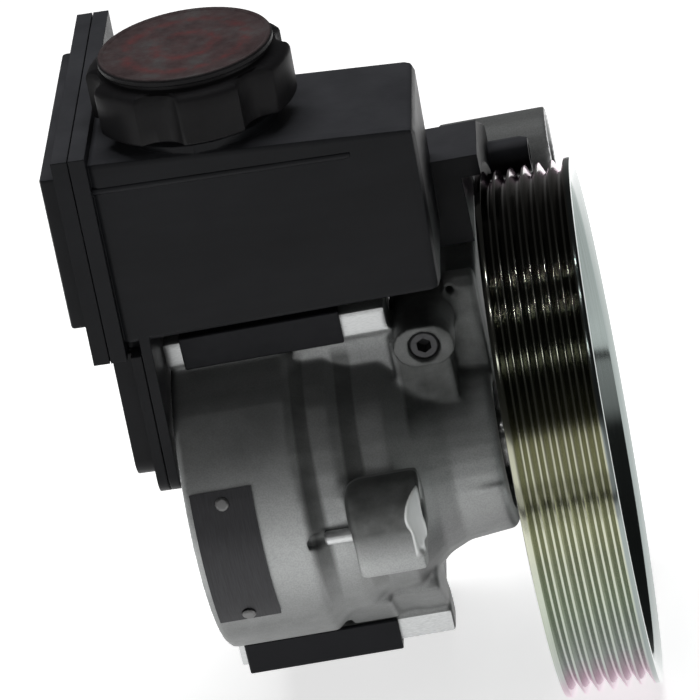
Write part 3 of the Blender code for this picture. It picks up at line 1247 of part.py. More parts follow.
def make_nameplate(make):
    """Bare plate rolled round the barrel, with two domed rivets."""
    inner = BARREL_R + GAP
    outer = inner + PLATE_SHEET
    low = math.pi - PLATE_ARC[1]
    high = math.pi - PLATE_ARC[0]
    section = arc(outer, low, high, 14) + arc(inner, high, low, 14)
    plate = make.prism("nameplate", [section], PLATE_X[0], PLATE_X[1], dark_steel)
    for i, turn in enumerate(RIVET_ARC):
        place = rivet_place(turn)
        hole = make.rod("plate_hole_%d" % (i + 1), RIVET_R * 0.6 + SEAT, BARREL_R - STATION,
                        outer + STATION, matrix=place, steps=12)
        make.cut(plate, hole)
        head = outer + GAP
        make.turned("plate_rivet_%d" % (i + 1), [
            (0, head + RIVET_HEAD),
            (RIVET_R * 0.7, head + RIVET_HEAD * 0.8),
            (RIVET_R, head),
            (RIVET_R * 0.6, head),
            (RIVET_R * 0.6, BARREL_R - 3 * MM),
            (0, BARREL_R - 3 * MM),
        ], bright_steel, place, 12)


def build():
    clear_scene()
    make = Builder()
    make_housing(make)
    make_locating_pin(make)
    make_end_cover(make)
    make_retainers(make)
    make_preload_spring(make)
    make_pressure_plates(make)
    make_cam_ring(make)
    make_rotor(make)
    make_shaft(make)
    make_bush_and_seal(make)
    make_bearing(make)
    make_hub(make)
    make_pulley(make)
    make_flow_valve(make)
    make_reservoir_body(make)
    make_reservoir_cover(make)
    make_inlet_parts(make)
    make_cap(make)
    make_clips(make)
    make_nameplate(make)
    make.settle()


build()
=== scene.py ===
"""Looks for the power steering pump: finer pieces, procedural materials, studio and camera."""
import math

import bmesh
import bpy
from mathutils import Matrix, Vector


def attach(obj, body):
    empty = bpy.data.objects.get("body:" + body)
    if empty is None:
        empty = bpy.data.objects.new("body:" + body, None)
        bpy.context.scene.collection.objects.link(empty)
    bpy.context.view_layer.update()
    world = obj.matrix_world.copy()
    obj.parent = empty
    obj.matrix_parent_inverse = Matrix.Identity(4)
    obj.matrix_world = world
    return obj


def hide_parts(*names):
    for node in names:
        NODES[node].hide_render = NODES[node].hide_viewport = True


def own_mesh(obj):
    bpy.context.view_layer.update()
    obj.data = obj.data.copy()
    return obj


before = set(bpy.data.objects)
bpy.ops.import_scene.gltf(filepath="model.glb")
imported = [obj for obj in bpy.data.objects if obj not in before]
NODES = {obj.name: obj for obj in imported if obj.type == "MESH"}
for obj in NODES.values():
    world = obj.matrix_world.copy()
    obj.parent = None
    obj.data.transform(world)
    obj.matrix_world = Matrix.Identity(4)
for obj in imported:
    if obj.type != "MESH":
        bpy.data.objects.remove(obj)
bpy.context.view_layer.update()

MM = 0.001
WELD_REACH = 0.000005
SHARP_ANGLE = math.radians(32)
ALONG_X = Matrix(((0, 0, 1, 0), (1, 0, 0, 0), (0, 1, 0, 0), (0, 0, 0, 1)))

# The reservoir's leaning frame
TILT = math.radians(2.1)
LEAN = Matrix.Translation((-6.2 * MM, 0, 57.5 * MM)) @ Matrix.Rotation(TILT, 4, "Y")

# Belt track and web of the pulley, in millimetres
PULLEY_STEPS = 180
PULLEY_R = 68.0
PULLEY_X = (83.2, 107.4)
GROOVES = 6
GROOVE_PITCH = 3.56
GROOVE_DEPTH = 2.9
GROOVE_FLAT = 0.55
RIM_INNER_R = 62.3
RIM_CHAMFER = (1.6, 1.4)     # along the radius and along the shaft
WEB_X = 95.0
WEB_THICK = 3.2
WEB_BEND = 3
SHAFT_HOLE_R = 8.5
WINDOWS = 6
WINDOW_R = (29.0, 54.0)
WINDOW_SPAN = math.radians(34)
WINDOW_CORNER = 2.6
BOLTS = 3
BOLT_RING_R = 16.5
BOLT_HOLE_R = 3.1

# Filler cap, in the leaning frame, in millimetres
CAP_STEPS = 288
NECK_AT = (26.3, -4.9)
CAP_TOP = 68.5
CAP_FACE_Z = CAP_TOP - 0.5
CAP_DISC_R = 21.6
CAP_SKIRT_R = 25.2
CAP_SKIRT_Z = 52.5
CAP_INSIDE_R = 19.2
CAP_CEILING = 64.9
CAP_PRINT_R = 22.0
CAP_GRIPS = 6
CAP_GRIP_R = 7.6
CAP_GRIP_DEPTH = 3.0
CAP_GRIP_TURN = math.radians(14)

# Casting, in millimetres
BARREL_R = 41.0
BARREL_X = (0.3, 29.2)
BARREL_FACET = 0.16          # how far a facet's middle lies from the round barrel
BOSS_CORNER = Vector((58.5, -44.0, 8.0))    # a point on the bolt boss's slanted face
BOSS_SLANT = Vector((1, -1, 0)).normalized()
BOSS_BEYOND = (48, -38)      # the boss lies past this x and this y
BOSS_REACH = 10
RAIL_FACE_Y = (-11.5, -8.5)
RAIL_FACE_Z = (41.6, 47.6)
RAIL_END_X = 56.4
EYE_FACE_X = 100.1
REAR_FACE_X = 0.35
FILLET_X = (45.5, 13.5, 3.0)     # middle, half length and fade of the rounded stretch
FILLET_TOP = (34.0, 4.0)         # its top and fade
FILLET_R = (24.0, 42.5)
FILLET_BACK_Y = 20
SKIN_VOXEL = 0.7 * MM
SKIN_FACES = 170000
EDGE_PASSES = 4
FILLET_PASSES = 12

# Valleys of the casting that take painted shade, in metres along the shaft
CAST_VALLEYS = ((0.0285, 0.0345), (0.0395, 0.0462))
VALLEY_EDGE = 0.0016

# Locating pin: its axis in (y, z), and its profile of (radius, x), in millimetres
PIN_STEPS = 32
PIN_AT = (-38.4, 1.6)
PIN_PROFILE = ((1.25, 32.6), (1.7, 33.1), (1.75, 33.4), (1.75, 39.4))

# Joint between the reservoir's halves, and the raised line on its front, in the leaning frame
SEAM_X = (-4.24, -4.06)
SEAM_YZ = (-28.0, 64.0, -3.2, 52.0)
SEAM_INSET = (0.8, 2.4)
FRONT_Y = -26.0
RIDGE_X = ((-1.5, 0.02), (-0.5, 0.35), (62.0, 0.35), (63.0, 0.02))      # station and height
RIDGE_Z = 42.2
RIDGE_HALF = (0.9, 0.25)     # at its foot and at its top
RIDGE_SINK = 0.05

# The passivation's colour round the pulley, by share of a turn, dark from 0.705 to 0.90 as painted
# shade over its upper front
RIM_TINTS_AND_SHADE = (
    (0.00, (0.44, 0.46, 0.38)), (0.03, (0.42, 0.46, 0.39)), (0.09, (0.42, 0.45, 0.43)),
    (0.125, (0.42, 0.30, 0.36)), (0.17, (0.56, 0.33, 0.46)), (0.26, (0.42, 0.42, 0.41)),
    (0.60, (0.42, 0.42, 0.40)), (0.675, (0.70, 0.36, 0.56)), (0.705, (0.28, 0.27, 0.26)),
    (0.90, (0.28, 0.29, 0.24)), (0.93, (0.54, 0.54, 0.42)), (0.975, (0.51, 0.52, 0.41)),
    (1.00, (0.44, 0.46, 0.38)),
)

# Worn ink on the cap, by share of its disc's radius
INK_RINGS = ((0.0, 0.30), (0.22, 0.10), (0.34, 0.75), (0.44, 0.15), (0.58, 0.10), (0.68, 0.80),
             (0.78, 0.12), (1.0, 0.0))

# Studio: how white the table is in reflections and to the eye, where it lies, and the room's
# glow by degrees from straight up, towards +Y
FLOOR_GLOW = 0.97
FLOOR_SEEN = 0.68
FLOOR = (-0.48, 0.55, -0.40, 0.55)
FLOOR_Z = -0.0692
ROOM = ((-180, 0.9), (-96.2, 0.9), (-95.8, 0.0), (-91.9, 0.0), (-91.5, 0.62), (-68, 0.44),
        (-59, 0.03), (0, 0.02), (60, 0.03), (78, 0.10), (90, 0.16), (180, 0.20))

# Camera
CAMERA_AT = (0.15323, -0.93038, 0.50479)
CAMERA_YAW = math.radians(6.654)
CAMERA_PITCH = math.radians(26.754)
CAMERA_ROLL = math.radians(12.956)
LENS = 213.69
SENSOR = 36


def grey(value):
    return (value,) * 3


class Tree:
    """Writes a node tree in a few words."""

    def __init__(self, tree):
        self.tree = tree

    def node(self, kind, **values):
        made = self.tree.nodes.new(kind)
        for key, value in values.items():
            setattr(made, key, value)
        return made

    def link(self, source, target):
        self.tree.links.new(source, target)

    def feed(self, socket, value):
        """Links a socket to an output, or gives it a number or a colour."""
        if hasattr(value, "links"):
            self.link(value, socket)
        else:
            socket.default_value = (*value, 1) if isinstance(value, tuple) else value

    def parts(self, vector):
        """X, Y and Z of a vector."""
        made = self.node("ShaderNodeSeparateXYZ")
        self.link(vector, made.inputs["Vector"])
        return tuple(made.outputs)

    def math(self, operation, first, *others):
        """Takes values together, one after another, with one operation."""
        for other in others:
            made = self.node("ShaderNodeMath", operation=operation)
            self.feed(made.inputs[0], first)
            self.feed(made.inputs[1], other)
            first = made.outputs[0]
        return first

    def to_range(self, source, low, high, start=0.0, end=1.0):
        """Runs from low to high while the source runs from start to end."""
        made = self.node("ShaderNodeMapRange")
        for key, value in (("From Min", start), ("From Max", end), ("To Min", low),
                           ("To Max", high)):
            made.inputs[key].default_value = value
        self.link(source, made.inputs["Value"])
        return made.outputs["Result"]

    def ramp(self, source, *stops):
        made = self.node("ShaderNodeValToRGB")
        elements = made.color_ramp.elements
        while len(elements) < len(stops):
            elements.new(0.5)
        for element, (at, colour) in zip(elements, stops):
            element.position = at
            element.color = (*colour, 1)
        self.link(source, made.inputs["Fac"])
        return made.outputs["Color"]


class Finish(Tree):
    """A material, its shader and what its nodes start from."""

    def __init__(self, name, colour, roughness, metallic=0.0):
        self.material = bpy.data.materials.new(name)
        self.material.use_nodes = True
        super().__init__(self.material.node_tree)
        self.shader = self.tree.nodes["Principled BSDF"]
        self.shader.inputs["Base Color"].default_value = (*colour, 1)
        self.shader.inputs["Roughness"].default_value = roughness
        self.shader.inputs["Metallic"].default_value = metallic

    def specular(self, level):
        self.shader.inputs["Specular IOR Level"].default_value = level

    def place(self):
        return self.node("ShaderNodeTexCoord").outputs["Object"]

    def upward(self):
        """How far a face looks up, from -1 to 1."""
        return self.parts(self.node("ShaderNodeTexCoord").outputs["Normal"])[2]

    def stretched(self, scale):
        mapping = self.node("ShaderNodeMapping")
        mapping.inputs["Scale"].default_value = scale
        self.link(self.place(), mapping.inputs["Vector"])
        return mapping.outputs["Vector"]

    def from_shaft(self):
        """Distance from the shaft's axis."""
        made = self.node("ShaderNodeVectorMath", operation="LENGTH")
        self.link(self.stretched((0, 1, 1)), made.inputs[0])
        return made.outputs["Value"]

    def noise(self, scale, detail=3.0, roughness=0.5, place=None):
        made = self.node("ShaderNodeTexNoise")
        made.inputs["Scale"].default_value = scale
        made.inputs["Detail"].default_value = detail
        made.inputs["Roughness"].default_value = roughness
        self.link(place or self.place(), made.inputs["Vector"])
        return made.outputs["Fac"]

    def mix(self, factor, first, second, blend="MIX"):
        made = self.node("ShaderNodeMix", data_type="RGBA", blend_type=blend)
        for index, value in ((0, factor), (6, first), (7, second)):
            self.feed(made.inputs[index], value)
        return made.outputs[2]

    def colour(self, source):
        self.link(source, self.shader.inputs["Base Color"])

    def roughness(self, source):
        self.link(source, self.shader.inputs["Roughness"])

    def bump(self, height, distance, strength=1.0, rounded=0.0):
        made = self.node("ShaderNodeBump")
        made.inputs["Strength"].default_value = strength
        made.inputs["Distance"].default_value = distance
        self.link(height, made.inputs["Height"])
        if rounded:
            edge = self.node("ShaderNodeBevel", samples=4)
            edge.inputs["Radius"].default_value = rounded
            self.link(edge.outputs["Normal"], made.inputs["Normal"])
        self.link(made.outputs["Normal"], self.shader.inputs["Normal"])


def cast_painted_shade(m, x, y, z, reach):
    """How much painted shade darkens the casting: high up, on upward faces, low down, in the
    valleys, by the nose and boss.
    """
    # Painted shade: darker high up, on faces that look up, and low down.
    painted_shade = m.math("ADD", m.to_range(z, 0.0, 0.28, 0.006, 0.030),
                  m.to_range(m.upward(), 0.0, 0.28, 0.10, 0.65),
                  m.to_range(z, 0.50, 0.0, -0.022, -0.004))
    # Painted shade in the valleys between the lands.
    valleys = m.math("MAXIMUM", *(
        m.math("MINIMUM", m.to_range(x, 0.0, 1.0, start, start + VALLEY_EDGE),
               m.to_range(x, 1.0, 0.0, end - VALLEY_EDGE, end)) for start, end in CAST_VALLEYS))
    valleys = m.math("MULTIPLY", valleys, m.to_range(z, 0.34, 0.80, -0.030, 0.004),
                     m.to_range(reach, 1.0, 0.0, 0.0398, 0.0408))
    painted_shade = m.math("MULTIPLY", m.math("MAXIMUM", painted_shade, valleys),
                  m.to_range(y, 1.0, 0.35, 0.005, 0.030))
    # Painted shade over the upper nose.
    nose = m.math("MULTIPLY", m.to_range(x, 0.0, 0.86, 0.0555, 0.0575),
                  m.to_range(z, 0.0, 1.0, 0.013, 0.021), m.to_range(y, 1.0, 0.0, 0.005, 0.030))
    # Painted shade on the upper half of the bolt boss.
    boss = m.math("MULTIPLY", m.to_range(z, 0.0, 0.86, -0.003, 0.006),
                  m.to_range(z, 1.0, 0.0, 0.020, 0.024),
                  m.to_range(reach, 0.0, 1.0, 0.0412, 0.0420),
                  m.to_range(x, 0.0, 1.0, 0.0385, 0.0400))
    # The milled rail faces stay clear of the painted shade.
    rail = m.math("MULTIPLY", m.to_range(z, 0.0, 1.0, 0.036, 0.040),
                  m.to_range(x, 1.0, 0.0, 0.054, 0.058))
    uneven = m.to_range(m.noise(70, 4, 0.6), 0.8, 1.15, 0.3, 0.7)
    return m.math("MULTIPLY", m.math("MAXIMUM", painted_shade, nose, boss),
                  m.math("SUBTRACT", 1.0, rail), uneven)


def cast_metal():
    """Blasted die casting: fine grain, cloudy tone, painted shade, and the boss's machined slant.
    """
    m = Finish("cast_aluminium", (0.42, 0.43, 0.43), 0.5, 0.72)
    grain = m.noise(2600, 2)
    tone = m.ramp(m.noise(55, 4), (0.30, (0.375, 0.385, 0.385)), (0.72, (0.45, 0.46, 0.455)))
    speck = m.ramp(grain, (0.35, grey(0.84)), (0.62, grey(1.0)))
    clean = m.mix(1.0, tone, speck, "MULTIPLY")
    x, y, z = m.parts(m.place())
    reach = m.from_shaft()
    painted_shade = cast_painted_shade(m, x, y, z, reach)
    across = m.math("MULTIPLY", m.math("SUBTRACT", x, y), math.sqrt(0.5))
    plane = BOSS_CORNER.dot(BOSS_SLANT) * MM
    faced = m.math("MULTIPLY", m.to_range(across, 0.0, 1.0, plane - 0.00030, plane - 0.00012),
                   m.to_range(z, 0.0, 1.0, -0.0030, -0.0020),
                   m.to_range(reach, 0.0, 1.0, 0.0412, 0.0416))
    # Painted shade darkens the cast colour, and the boss's machined slant is lighter.
    m.colour(m.mix(faced, m.mix(painted_shade, clean, (0.05, 0.052, 0.05)), (0.66, 0.67, 0.67)))
    rough = m.to_range(m.noise(320, 3), 0.43, 0.60)
    m.roughness(m.math("SUBTRACT", rough, m.math("MULTIPLY", faced, 0.12)))
    m.bump(grain, 0.00006, 0.55, rounded=0.0007)
    return m.material


def milled_metal():
    """Bright machined faces with the cutter's fine lines."""
    m = Finish("milled_aluminium", (0.62, 0.63, 0.63), 0.36, 0.9)
    lines = m.noise(900, 2, place=m.stretched((1.0, 0.25, 6.0)))
    m.colour(m.ramp(lines, (0.25, (0.46, 0.47, 0.47)), (0.75, (0.64, 0.65, 0.65))))
    m.roughness(m.to_range(lines, 0.30, 0.46))
    m.bump(lines, 0.00003, 0.5)
    return m.material


def zinc_plate():
    """Zinc whose passivation drifts round the rim, darkened by painted shade over its upper front,
    and is grey inside and on the front land.
    """
    m = Finish("zinc_passivated", (0.62, 0.62, 0.5), 0.2, 1.0)
    x, y, z = m.parts(m.place())
    turn = m.math("MULTIPLY", m.math("ARCTAN2", z, y), 0.5 / math.pi)
    cloud = m.noise(26, 3, place=m.stretched((0.6, 1, 1)))
    patches = m.math("MULTIPLY", m.math("SUBTRACT", cloud, 0.5), 0.10)
    # Colour round the rim, with painted shade over its upper front.
    tint_and_shade = m.ramp(m.math("ADD", turn, 0.5, patches), *RIM_TINTS_AND_SHADE)
    plain = m.math("MAXIMUM", m.to_range(m.from_shaft(), 1.0, 0.0, 0.0628, 0.0636),
                   m.to_range(x, 0.0, 1.0, 0.1060, 0.1063))
    lathe = m.noise(1.0, 2, place=m.stretched((5200, 30, 30)))
    shade = m.ramp(lathe, (0.3, grey(0.86)), (0.7, grey(1.0)))
    m.colour(m.mix(1.0, m.mix(plain, tint_and_shade, (0.26, 0.295, 0.285)), shade, "MULTIPLY"))
    m.roughness(m.to_range(lathe, 0.09, 0.17))
    m.bump(lathe, 0.00002, 0.35)
    return m.material


def moulded_plastic(name, tone, roughness, grain):
    """Glass-filled black plastic with a spark-eroded surface, flow marks and painted light that
    makes upward faces lighter.
    """
    base = (tone * 0.92, tone * 0.97, tone * 1.14)
    m = Finish(name, base, roughness)
    m.specular(0.14)
    flow = m.noise(22, 5, 0.6, place=m.stretched((0.5, 1, 2.4)))
    dark, light = tuple(c * 0.72 for c in base), tuple(c * 1.5 for c in base)
    clean = m.ramp(flow, (0.30, dark), (0.50, base), (0.74, light))
    # Painted light: faces that look up are made lighter, mottled.
    painted_top_light = m.math("MULTIPLY", m.to_range(m.upward(), 0.0, 1.0, 0.75, 0.98),
                  m.to_range(m.noise(48, 5, 0.65), 0.55, 1.0, 0.3, 0.7))
    m.colour(m.mix(painted_top_light, clean, (0.046, 0.047, 0.052)))
    m.roughness(m.to_range(m.noise(140, 4), roughness - 0.07, roughness + 0.08))
    m.bump(m.noise(grain, 2), 0.00004, 0.5, rounded=0.0005)
    return m.material


def cap_plastic():
    """Cap moulding: dark sides, and a top made lighter partly by handling wear and partly as
    painted light, with faint rings of worn ink.
    """
    m = Finish("cap_plastic", (0.015, 0.014, 0.014), 0.45)
    m.specular(0.12)
    radius = m.node("ShaderNodeAttribute", attribute_name="cap_radius").outputs["Fac"]
    side = m.ramp(m.noise(70, 5, 0.65), (0.35, (0.008, 0.0078, 0.0085)),
                  (0.8, (0.015, 0.0145, 0.0155)))
    # The top's lighter colour: partly handling wear, partly painted light.
    top = m.ramp(m.noise(150, 5, 0.7), (0.30, (0.036, 0.025, 0.026)),
                 (0.52, (0.060, 0.046, 0.047)), (0.75, (0.078, 0.080, 0.080)))
    ring = m.ramp(radius, *((share, grey(ink)) for share, ink in INK_RINGS))
    wear = m.ramp(m.noise(210, 4, 0.7), (0.36, grey(0.0)), (0.66, grey(1.0)))
    inked = m.mix(m.mix(1.0, ring, wear, "MULTIPLY"), top, (0.125, 0.036, 0.037))
    rim = m.ramp(radius, (0.955, grey(0.0)), (0.975, grey(1.0)))
    m.colour(m.mix(rim, inked, side))
    m.roughness(m.to_range(m.noise(160, 4), 0.36, 0.52))
    m.bump(m.noise(1700, 2), 0.00004, 0.45)
    return m.material


def steel(name, colour, roughness, metallic=1.0, scale=(1, 1, 1), grain=900):
    """Ground or drawn steel: fine scratches along one way, with cloudy colour."""
    m = Finish(name, colour, roughness, metallic)
    m.specular(0.5 if metallic > 0.5 else 0.15)
    scratch = m.noise(grain, 3, place=m.stretched(scale))
    m.colour(m.ramp(m.noise(60, 3), (0.3, tuple(c * 0.8 for c in colour)), (0.7, colour)))
    m.roughness(m.to_range(scratch, roughness * 0.75, roughness * 1.3))
    m.bump(scratch, 0.00003, 0.4, rounded=0.0003)
    return m.material


def rubber():
    """Matt moulded rubber with a fine speck."""
    m = Finish("moulded_rubber", grey(0.02), 0.75)
    speck = m.noise(900, 4)
    m.colour(m.ramp(speck, (0.3, grey(0.015)), (0.7, (0.032, 0.032, 0.031))))
    m.roughness(m.to_range(speck, 0.62, 0.85))
    m.bump(speck, 0.00005, 0.5)
    return m.material


def nameplate_metal():
    """Black anodised sheet, brushed along its length."""
    m = Finish("plate_anodised", (0.016, 0.016, 0.018), 0.38, 0.35)
    brushed = m.noise(500, 3, place=m.stretched((8, 0.5, 0.5)))
    m.colour(m.ramp(brushed, (0.3, (0.013, 0.013, 0.015)), (0.75, (0.030, 0.030, 0.034))))
    m.roughness(m.to_range(brushed, 0.30, 0.48))
    m.bump(brushed, 0.00002, 0.5)
    return m.material


CAST = cast_metal()
MILLED = milled_metal()
ZINC = zinc_plate()
RESERVOIR = moulded_plastic("reservoir_plastic", 0.0096, 0.42, 1500)
COVER = moulded_plastic("cover_plastic", 0.0090, 0.44, 1300)
CAP = cap_plastic()
GROUND = steel("ground_steel", (0.66, 0.66, 0.65), 0.22, scale=(6, 1, 1))
PLATED = steel("plated_steel", (0.62, 0.62, 0.58), 0.30)
BLACKED = steel("blacked_steel", (0.014, 0.0145, 0.017), 0.42, 0.25, grain=700)
# Painted shade: the valve plug is made dark to stand for the reservoir's shadow on it.
SHADED_PLUG = steel("plug_painted_shade", (0.075, 0.075, 0.078), 0.5, 0.7)
RIVET = steel("rivet_head", (0.20, 0.20, 0.20), 0.46, 0.8)
BRONZE = steel("bronze", (0.50, 0.33, 0.14), 0.36)
RUBBER = rubber()
PLATE = nameplate_metal()

# Every node that isn't named here is ground steel
LOOKS = {
    "pump_housing": CAST, "end_cover": CAST, "nameplate": PLATE, "pulley": ZINC,
    "reservoir_body": RESERVOIR, "reservoir_cover": COVER, "filler_cap": CAP,
    "dipstick": COVER, "suction_strainer": COVER,
    "retaining_clip_upper": BLACKED, "retaining_clip_lower": BLACKED,
    "end_cover_retaining_ring": BLACKED, "bearing_retaining_ring": BLACKED,
    "rotor_circlip": BLACKED, "preload_spring": BLACKED,
    "end_cover_o_ring": RUBBER, "shaft_seal": RUBBER, "inlet_o_ring": RUBBER,
    "cap_seal": RUBBER, "shaft_bush": BRONZE, "bearing_cage": BRONZE,
    "pulley_hub": PLATED, "pulley_bolt_1": PLATED, "pulley_bolt_2": PLATED,
    # The valve plug's dark colour is painted shade.
    "pulley_bolt_3": PLATED, "outlet_union": PLATED, "valve_plug": SHADED_PLUG,
    "plate_rivet_1": RIVET, "plate_rivet_2": RIVET, "locating_pin": MILLED,
}


def smooth_group():
    """Geometry nodes that shade smoothly except across sharp edges."""
    group = bpy.data.node_groups.new("shade_by_angle", "GeometryNodeTree")
    group.interface.new_socket("Geometry", in_out="INPUT", socket_type="NodeSocketGeometry")
    group.interface.new_socket("Geometry", in_out="OUTPUT", socket_type="NodeSocketGeometry")
    source = group.nodes.new("NodeGroupInput")
    result = group.nodes.new("NodeGroupOutput")
    faces = group.nodes.new("GeometryNodeSetShadeSmooth")
    edges = group.nodes.new("GeometryNodeSetShadeSmooth")
    edges.domain = "EDGE"
    edges.inputs["Shade Smooth"].default_value = False
    angle = group.nodes.new("GeometryNodeInputMeshEdgeAngle")
    over = group.nodes.new("FunctionNodeCompare")
    over.operation = "GREATER_THAN"
    over.inputs[1].default_value = SHARP_ANGLE
    group.links.new(angle.outputs["Unsigned Angle"], over.inputs[0])
    group.links.new(source.outputs[0], faces.inputs["Geometry"])
    group.links.new(faces.outputs["Geometry"], edges.inputs["Geometry"])
    group.links.new(over.outputs[0], edges.inputs["Selection"])
    group.links.new(edges.outputs["Geometry"], result.inputs[0])
    return group


SMOOTH = smooth_group()


def linked(name, data):
    """A new object in the scene."""
    made = bpy.data.objects.new(name, data)
    bpy.context.scene.collection.objects.link(made)
    return made


def weld(piece):
    piece.modifiers.new("weld", "WELD").merge_threshold = WELD_REACH


def shade_smooth(piece):
    piece.modifiers.new("shade", "NODES").node_group = SMOOTH


def baked(piece):
    """A piece's mesh with its modifiers worked in."""
    bpy.context.view_layer.update()
    graph = bpy.context.evaluated_depsgraph_get()
    mesh = bpy.data.meshes.new_from_object(piece.evaluated_get(graph))
    piece.modifiers.clear()
    piece.data = mesh
    return mesh


def dress(piece, material):
    """Paints a CAD solid, welds its facets and shades it smoothly."""
    mesh = piece.data
    mesh.materials.clear()
    mesh.materials.append(material)
    if "custom_normal" in mesh.attributes:
        mesh.attributes.remove(mesh.attributes["custom_normal"])
    weld(piece)
    shade_smooth(piece)
    even = piece.modifiers.new("even", "WEIGHTED_NORMAL")
    even.weight = 90
    even.keep_sharp = True


def new_piece(name, bm, matrix, material, body):
    """Turns a bmesh into a smooth-shaded piece that rides on a body."""
    mesh = bpy.data.meshes.new(name)
    bm.transform(matrix)
    bmesh.ops.recalc_face_normals(bm, faces=bm.faces)
    bm.to_mesh(mesh)
    bm.free()
    piece = linked(name, mesh)
    mesh.materials.append(material)
    shade_smooth(piece)
    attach(piece, body)
    return piece


def copy_of(node, name):
    """A second object with a CAD node's mesh and place, to be worked on."""
    piece = linked(name, NODES[node].data.copy())
    piece.matrix_world = NODES[node].matrix_world
    return piece


def circle(bm, radius, station, count):
    """A ring of points round the z axis, from millimetres."""
    return [bm.verts.new((radius * MM * math.cos(math.tau * k / count),
                          radius * MM * math.sin(math.tau * k / count), station * MM))
            for k in range(count)]


def ring_strip(bm, ring_a, ring_b):
    """Quads between two closed rows of points."""
    count = len(ring_a)
    for i in range(count):
        j = (i + 1) % count
        bm.faces.new((ring_a[i], ring_a[j], ring_b[j], ring_b[i]))


def tube(bm, rings, ends=True):
    """Skins rings one after another, and closes the two ends."""
    for a, b in zip(rings, rings[1:]):
        ring_strip(bm, a, b)
    if ends:
        bm.faces.new(rings[0])
        bm.faces.new(rings[-1][::-1])


def softened(points, radii, steps):
    """A closed profile whose corners are rounded by small arcs."""
    result = []
    count = len(points)
    for i, (point, radius) in enumerate(zip(points, radii)):
        here = Vector(point)
        before = Vector(points[i - 1]) - here
        after = Vector(points[(i + 1) % count]) - here
        if radius <= 0:
            result.append(tuple(here))
            continue
        half = before.angle(after) / 2
        reach = min(radius / math.tan(half), before.length * 0.45, after.length * 0.45)
        a = here + before.normalized() * reach
        b = here + after.normalized() * reach
        for k in range(steps + 1):
            t = k / steps
            result.append(tuple((1 - t) ** 2 * a + 2 * t * (1 - t) * here + t ** 2 * b))
    return result


def prism(outline, low, high):
    """A cutter along X from an outline of (y, z) in millimetres."""
    bm = bmesh.new()
    a = [bm.verts.new((low * MM, y * MM, z * MM)) for y, z in outline]
    b = [bm.verts.new((high * MM, y * MM, z * MM)) for y, z in outline]
    bm.faces.new(a)
    bm.faces.new(b[::-1])
    ring_strip(bm, a, b)
    bmesh.ops.recalc_face_normals(bm, faces=bm.faces)
    mesh = bpy.data.meshes.new("cutter")
    bm.to_mesh(mesh)
    bm.free()
    return linked("cutter", mesh)


def carve(piece, cutters):
    """Cuts the cutters out of a piece, keeps the result as its mesh and removes them."""
    piece.modifiers.clear()
    for cutter in cutters:
        step = piece.modifiers.new("cut", "BOOLEAN")
        step.object = cutter
        step.operation = "DIFFERENCE"
        step.solver = "EXACT"
    baked(piece)
    shade_smooth(piece)
    for cutter in cutters:
        bpy.data.objects.remove(cutter)


def groove_track():
    """Belt track from the front flange to the rear one, in (radius, station)."""
    points = [(PULLEY_R, PULLEY_X[1])]
    front = (PULLEY_X[0] + PULLEY_X[1] + GROOVES * GROOVE_PITCH) / 2
    slope = GROOVE_PITCH / 2 - GROOVE_FLAT
    crest = PULLEY_R - GROOVE_FLAT / 2
    floor = crest - GROOVE_DEPTH
    for i in range(GROOVES):
        start = front - i * GROOVE_PITCH - GROOVE_FLAT / 2
        points += [(PULLEY_R if i == 0 else crest, start),
                   (floor, start - slope),
                   (floor, start - slope - GROOVE_FLAT),
                   (PULLEY_R if i == GROOVES - 1 else crest, start - 2 * slope - GROOVE_FLAT)]
    points.append((PULLEY_R, PULLEY_X[0]))
    return points


def window_outline(middle):
    """A round-cornered ring sector in the web, round an angle."""
    half = WINDOW_SPAN / 2
    steps = 10
    outline = []
    for radius, start, end in ((WINDOW_R[1], -half, half), (WINDOW_R[0], half, -half)):
        for k in range(steps + 1):
            turn = start + (end - start) * k / steps
            outline.append((radius * math.cos(middle + turn), radius * math.sin(middle + turn)))
    corners = (0, steps, steps + 1, 2 * steps + 1)
    return softened(outline, [WINDOW_CORNER if k in corners else 0
                              for k in range(len(outline))], 5)


def make_pulley():
    """Spun pulley with fine grooves, a rolled rim, a dished web and its windows."""
    web_x1 = WEB_X + WEB_THICK
    lip, run = RIM_CHAMFER
    track = groove_track()
    inside = [(PULLEY_R - lip, PULLEY_X[0]), (RIM_INNER_R, PULLEY_X[0] + run),
              (RIM_INNER_R, WEB_X - WEB_BEND), (RIM_INNER_R - WEB_BEND, WEB_X),
              (SHAFT_HOLE_R, WEB_X), (SHAFT_HOLE_R, web_x1),
              (RIM_INNER_R - WEB_BEND, web_x1), (RIM_INNER_R, web_x1 + WEB_BEND),
              (RIM_INNER_R, PULLEY_X[1] - run), (PULLEY_R - lip, PULLEY_X[1])]
    radii = [0.5] + [0.16] * (len(track) - 2) + [0.5] + [0.6, 0.8, 1.6, 1.6, 0.0,
                                                        0.0, 1.6, 1.6, 0.8, 0.6]
    bm = bmesh.new()
    rings = [circle(bm, radius, station, PULLEY_STEPS)
             for radius, station in softened(track + inside, radii, 2)]
    tube(bm, rings + rings[:1], ends=False)
    piece = new_piece("pulley_turned", bm, ALONG_X, ZINC, "shaft")
    outlines = [window_outline(math.tau * (i + 0.5) / WINDOWS) for i in range(WINDOWS)]
    for i in range(BOLTS):
        angle = math.pi / 2 + math.tau * i / BOLTS
        y, z = BOLT_RING_R * math.cos(angle), BOLT_RING_R * math.sin(angle)
        outlines.append([(y + BOLT_HOLE_R * math.cos(math.tau * k / 24),
                          z + BOLT_HOLE_R * math.sin(math.tau * k / 24)) for k in range(24)])
    carve(piece, [prism(outline, WEB_X - 1, web_x1 + 1) for outline in outlines])
    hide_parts("pulley")


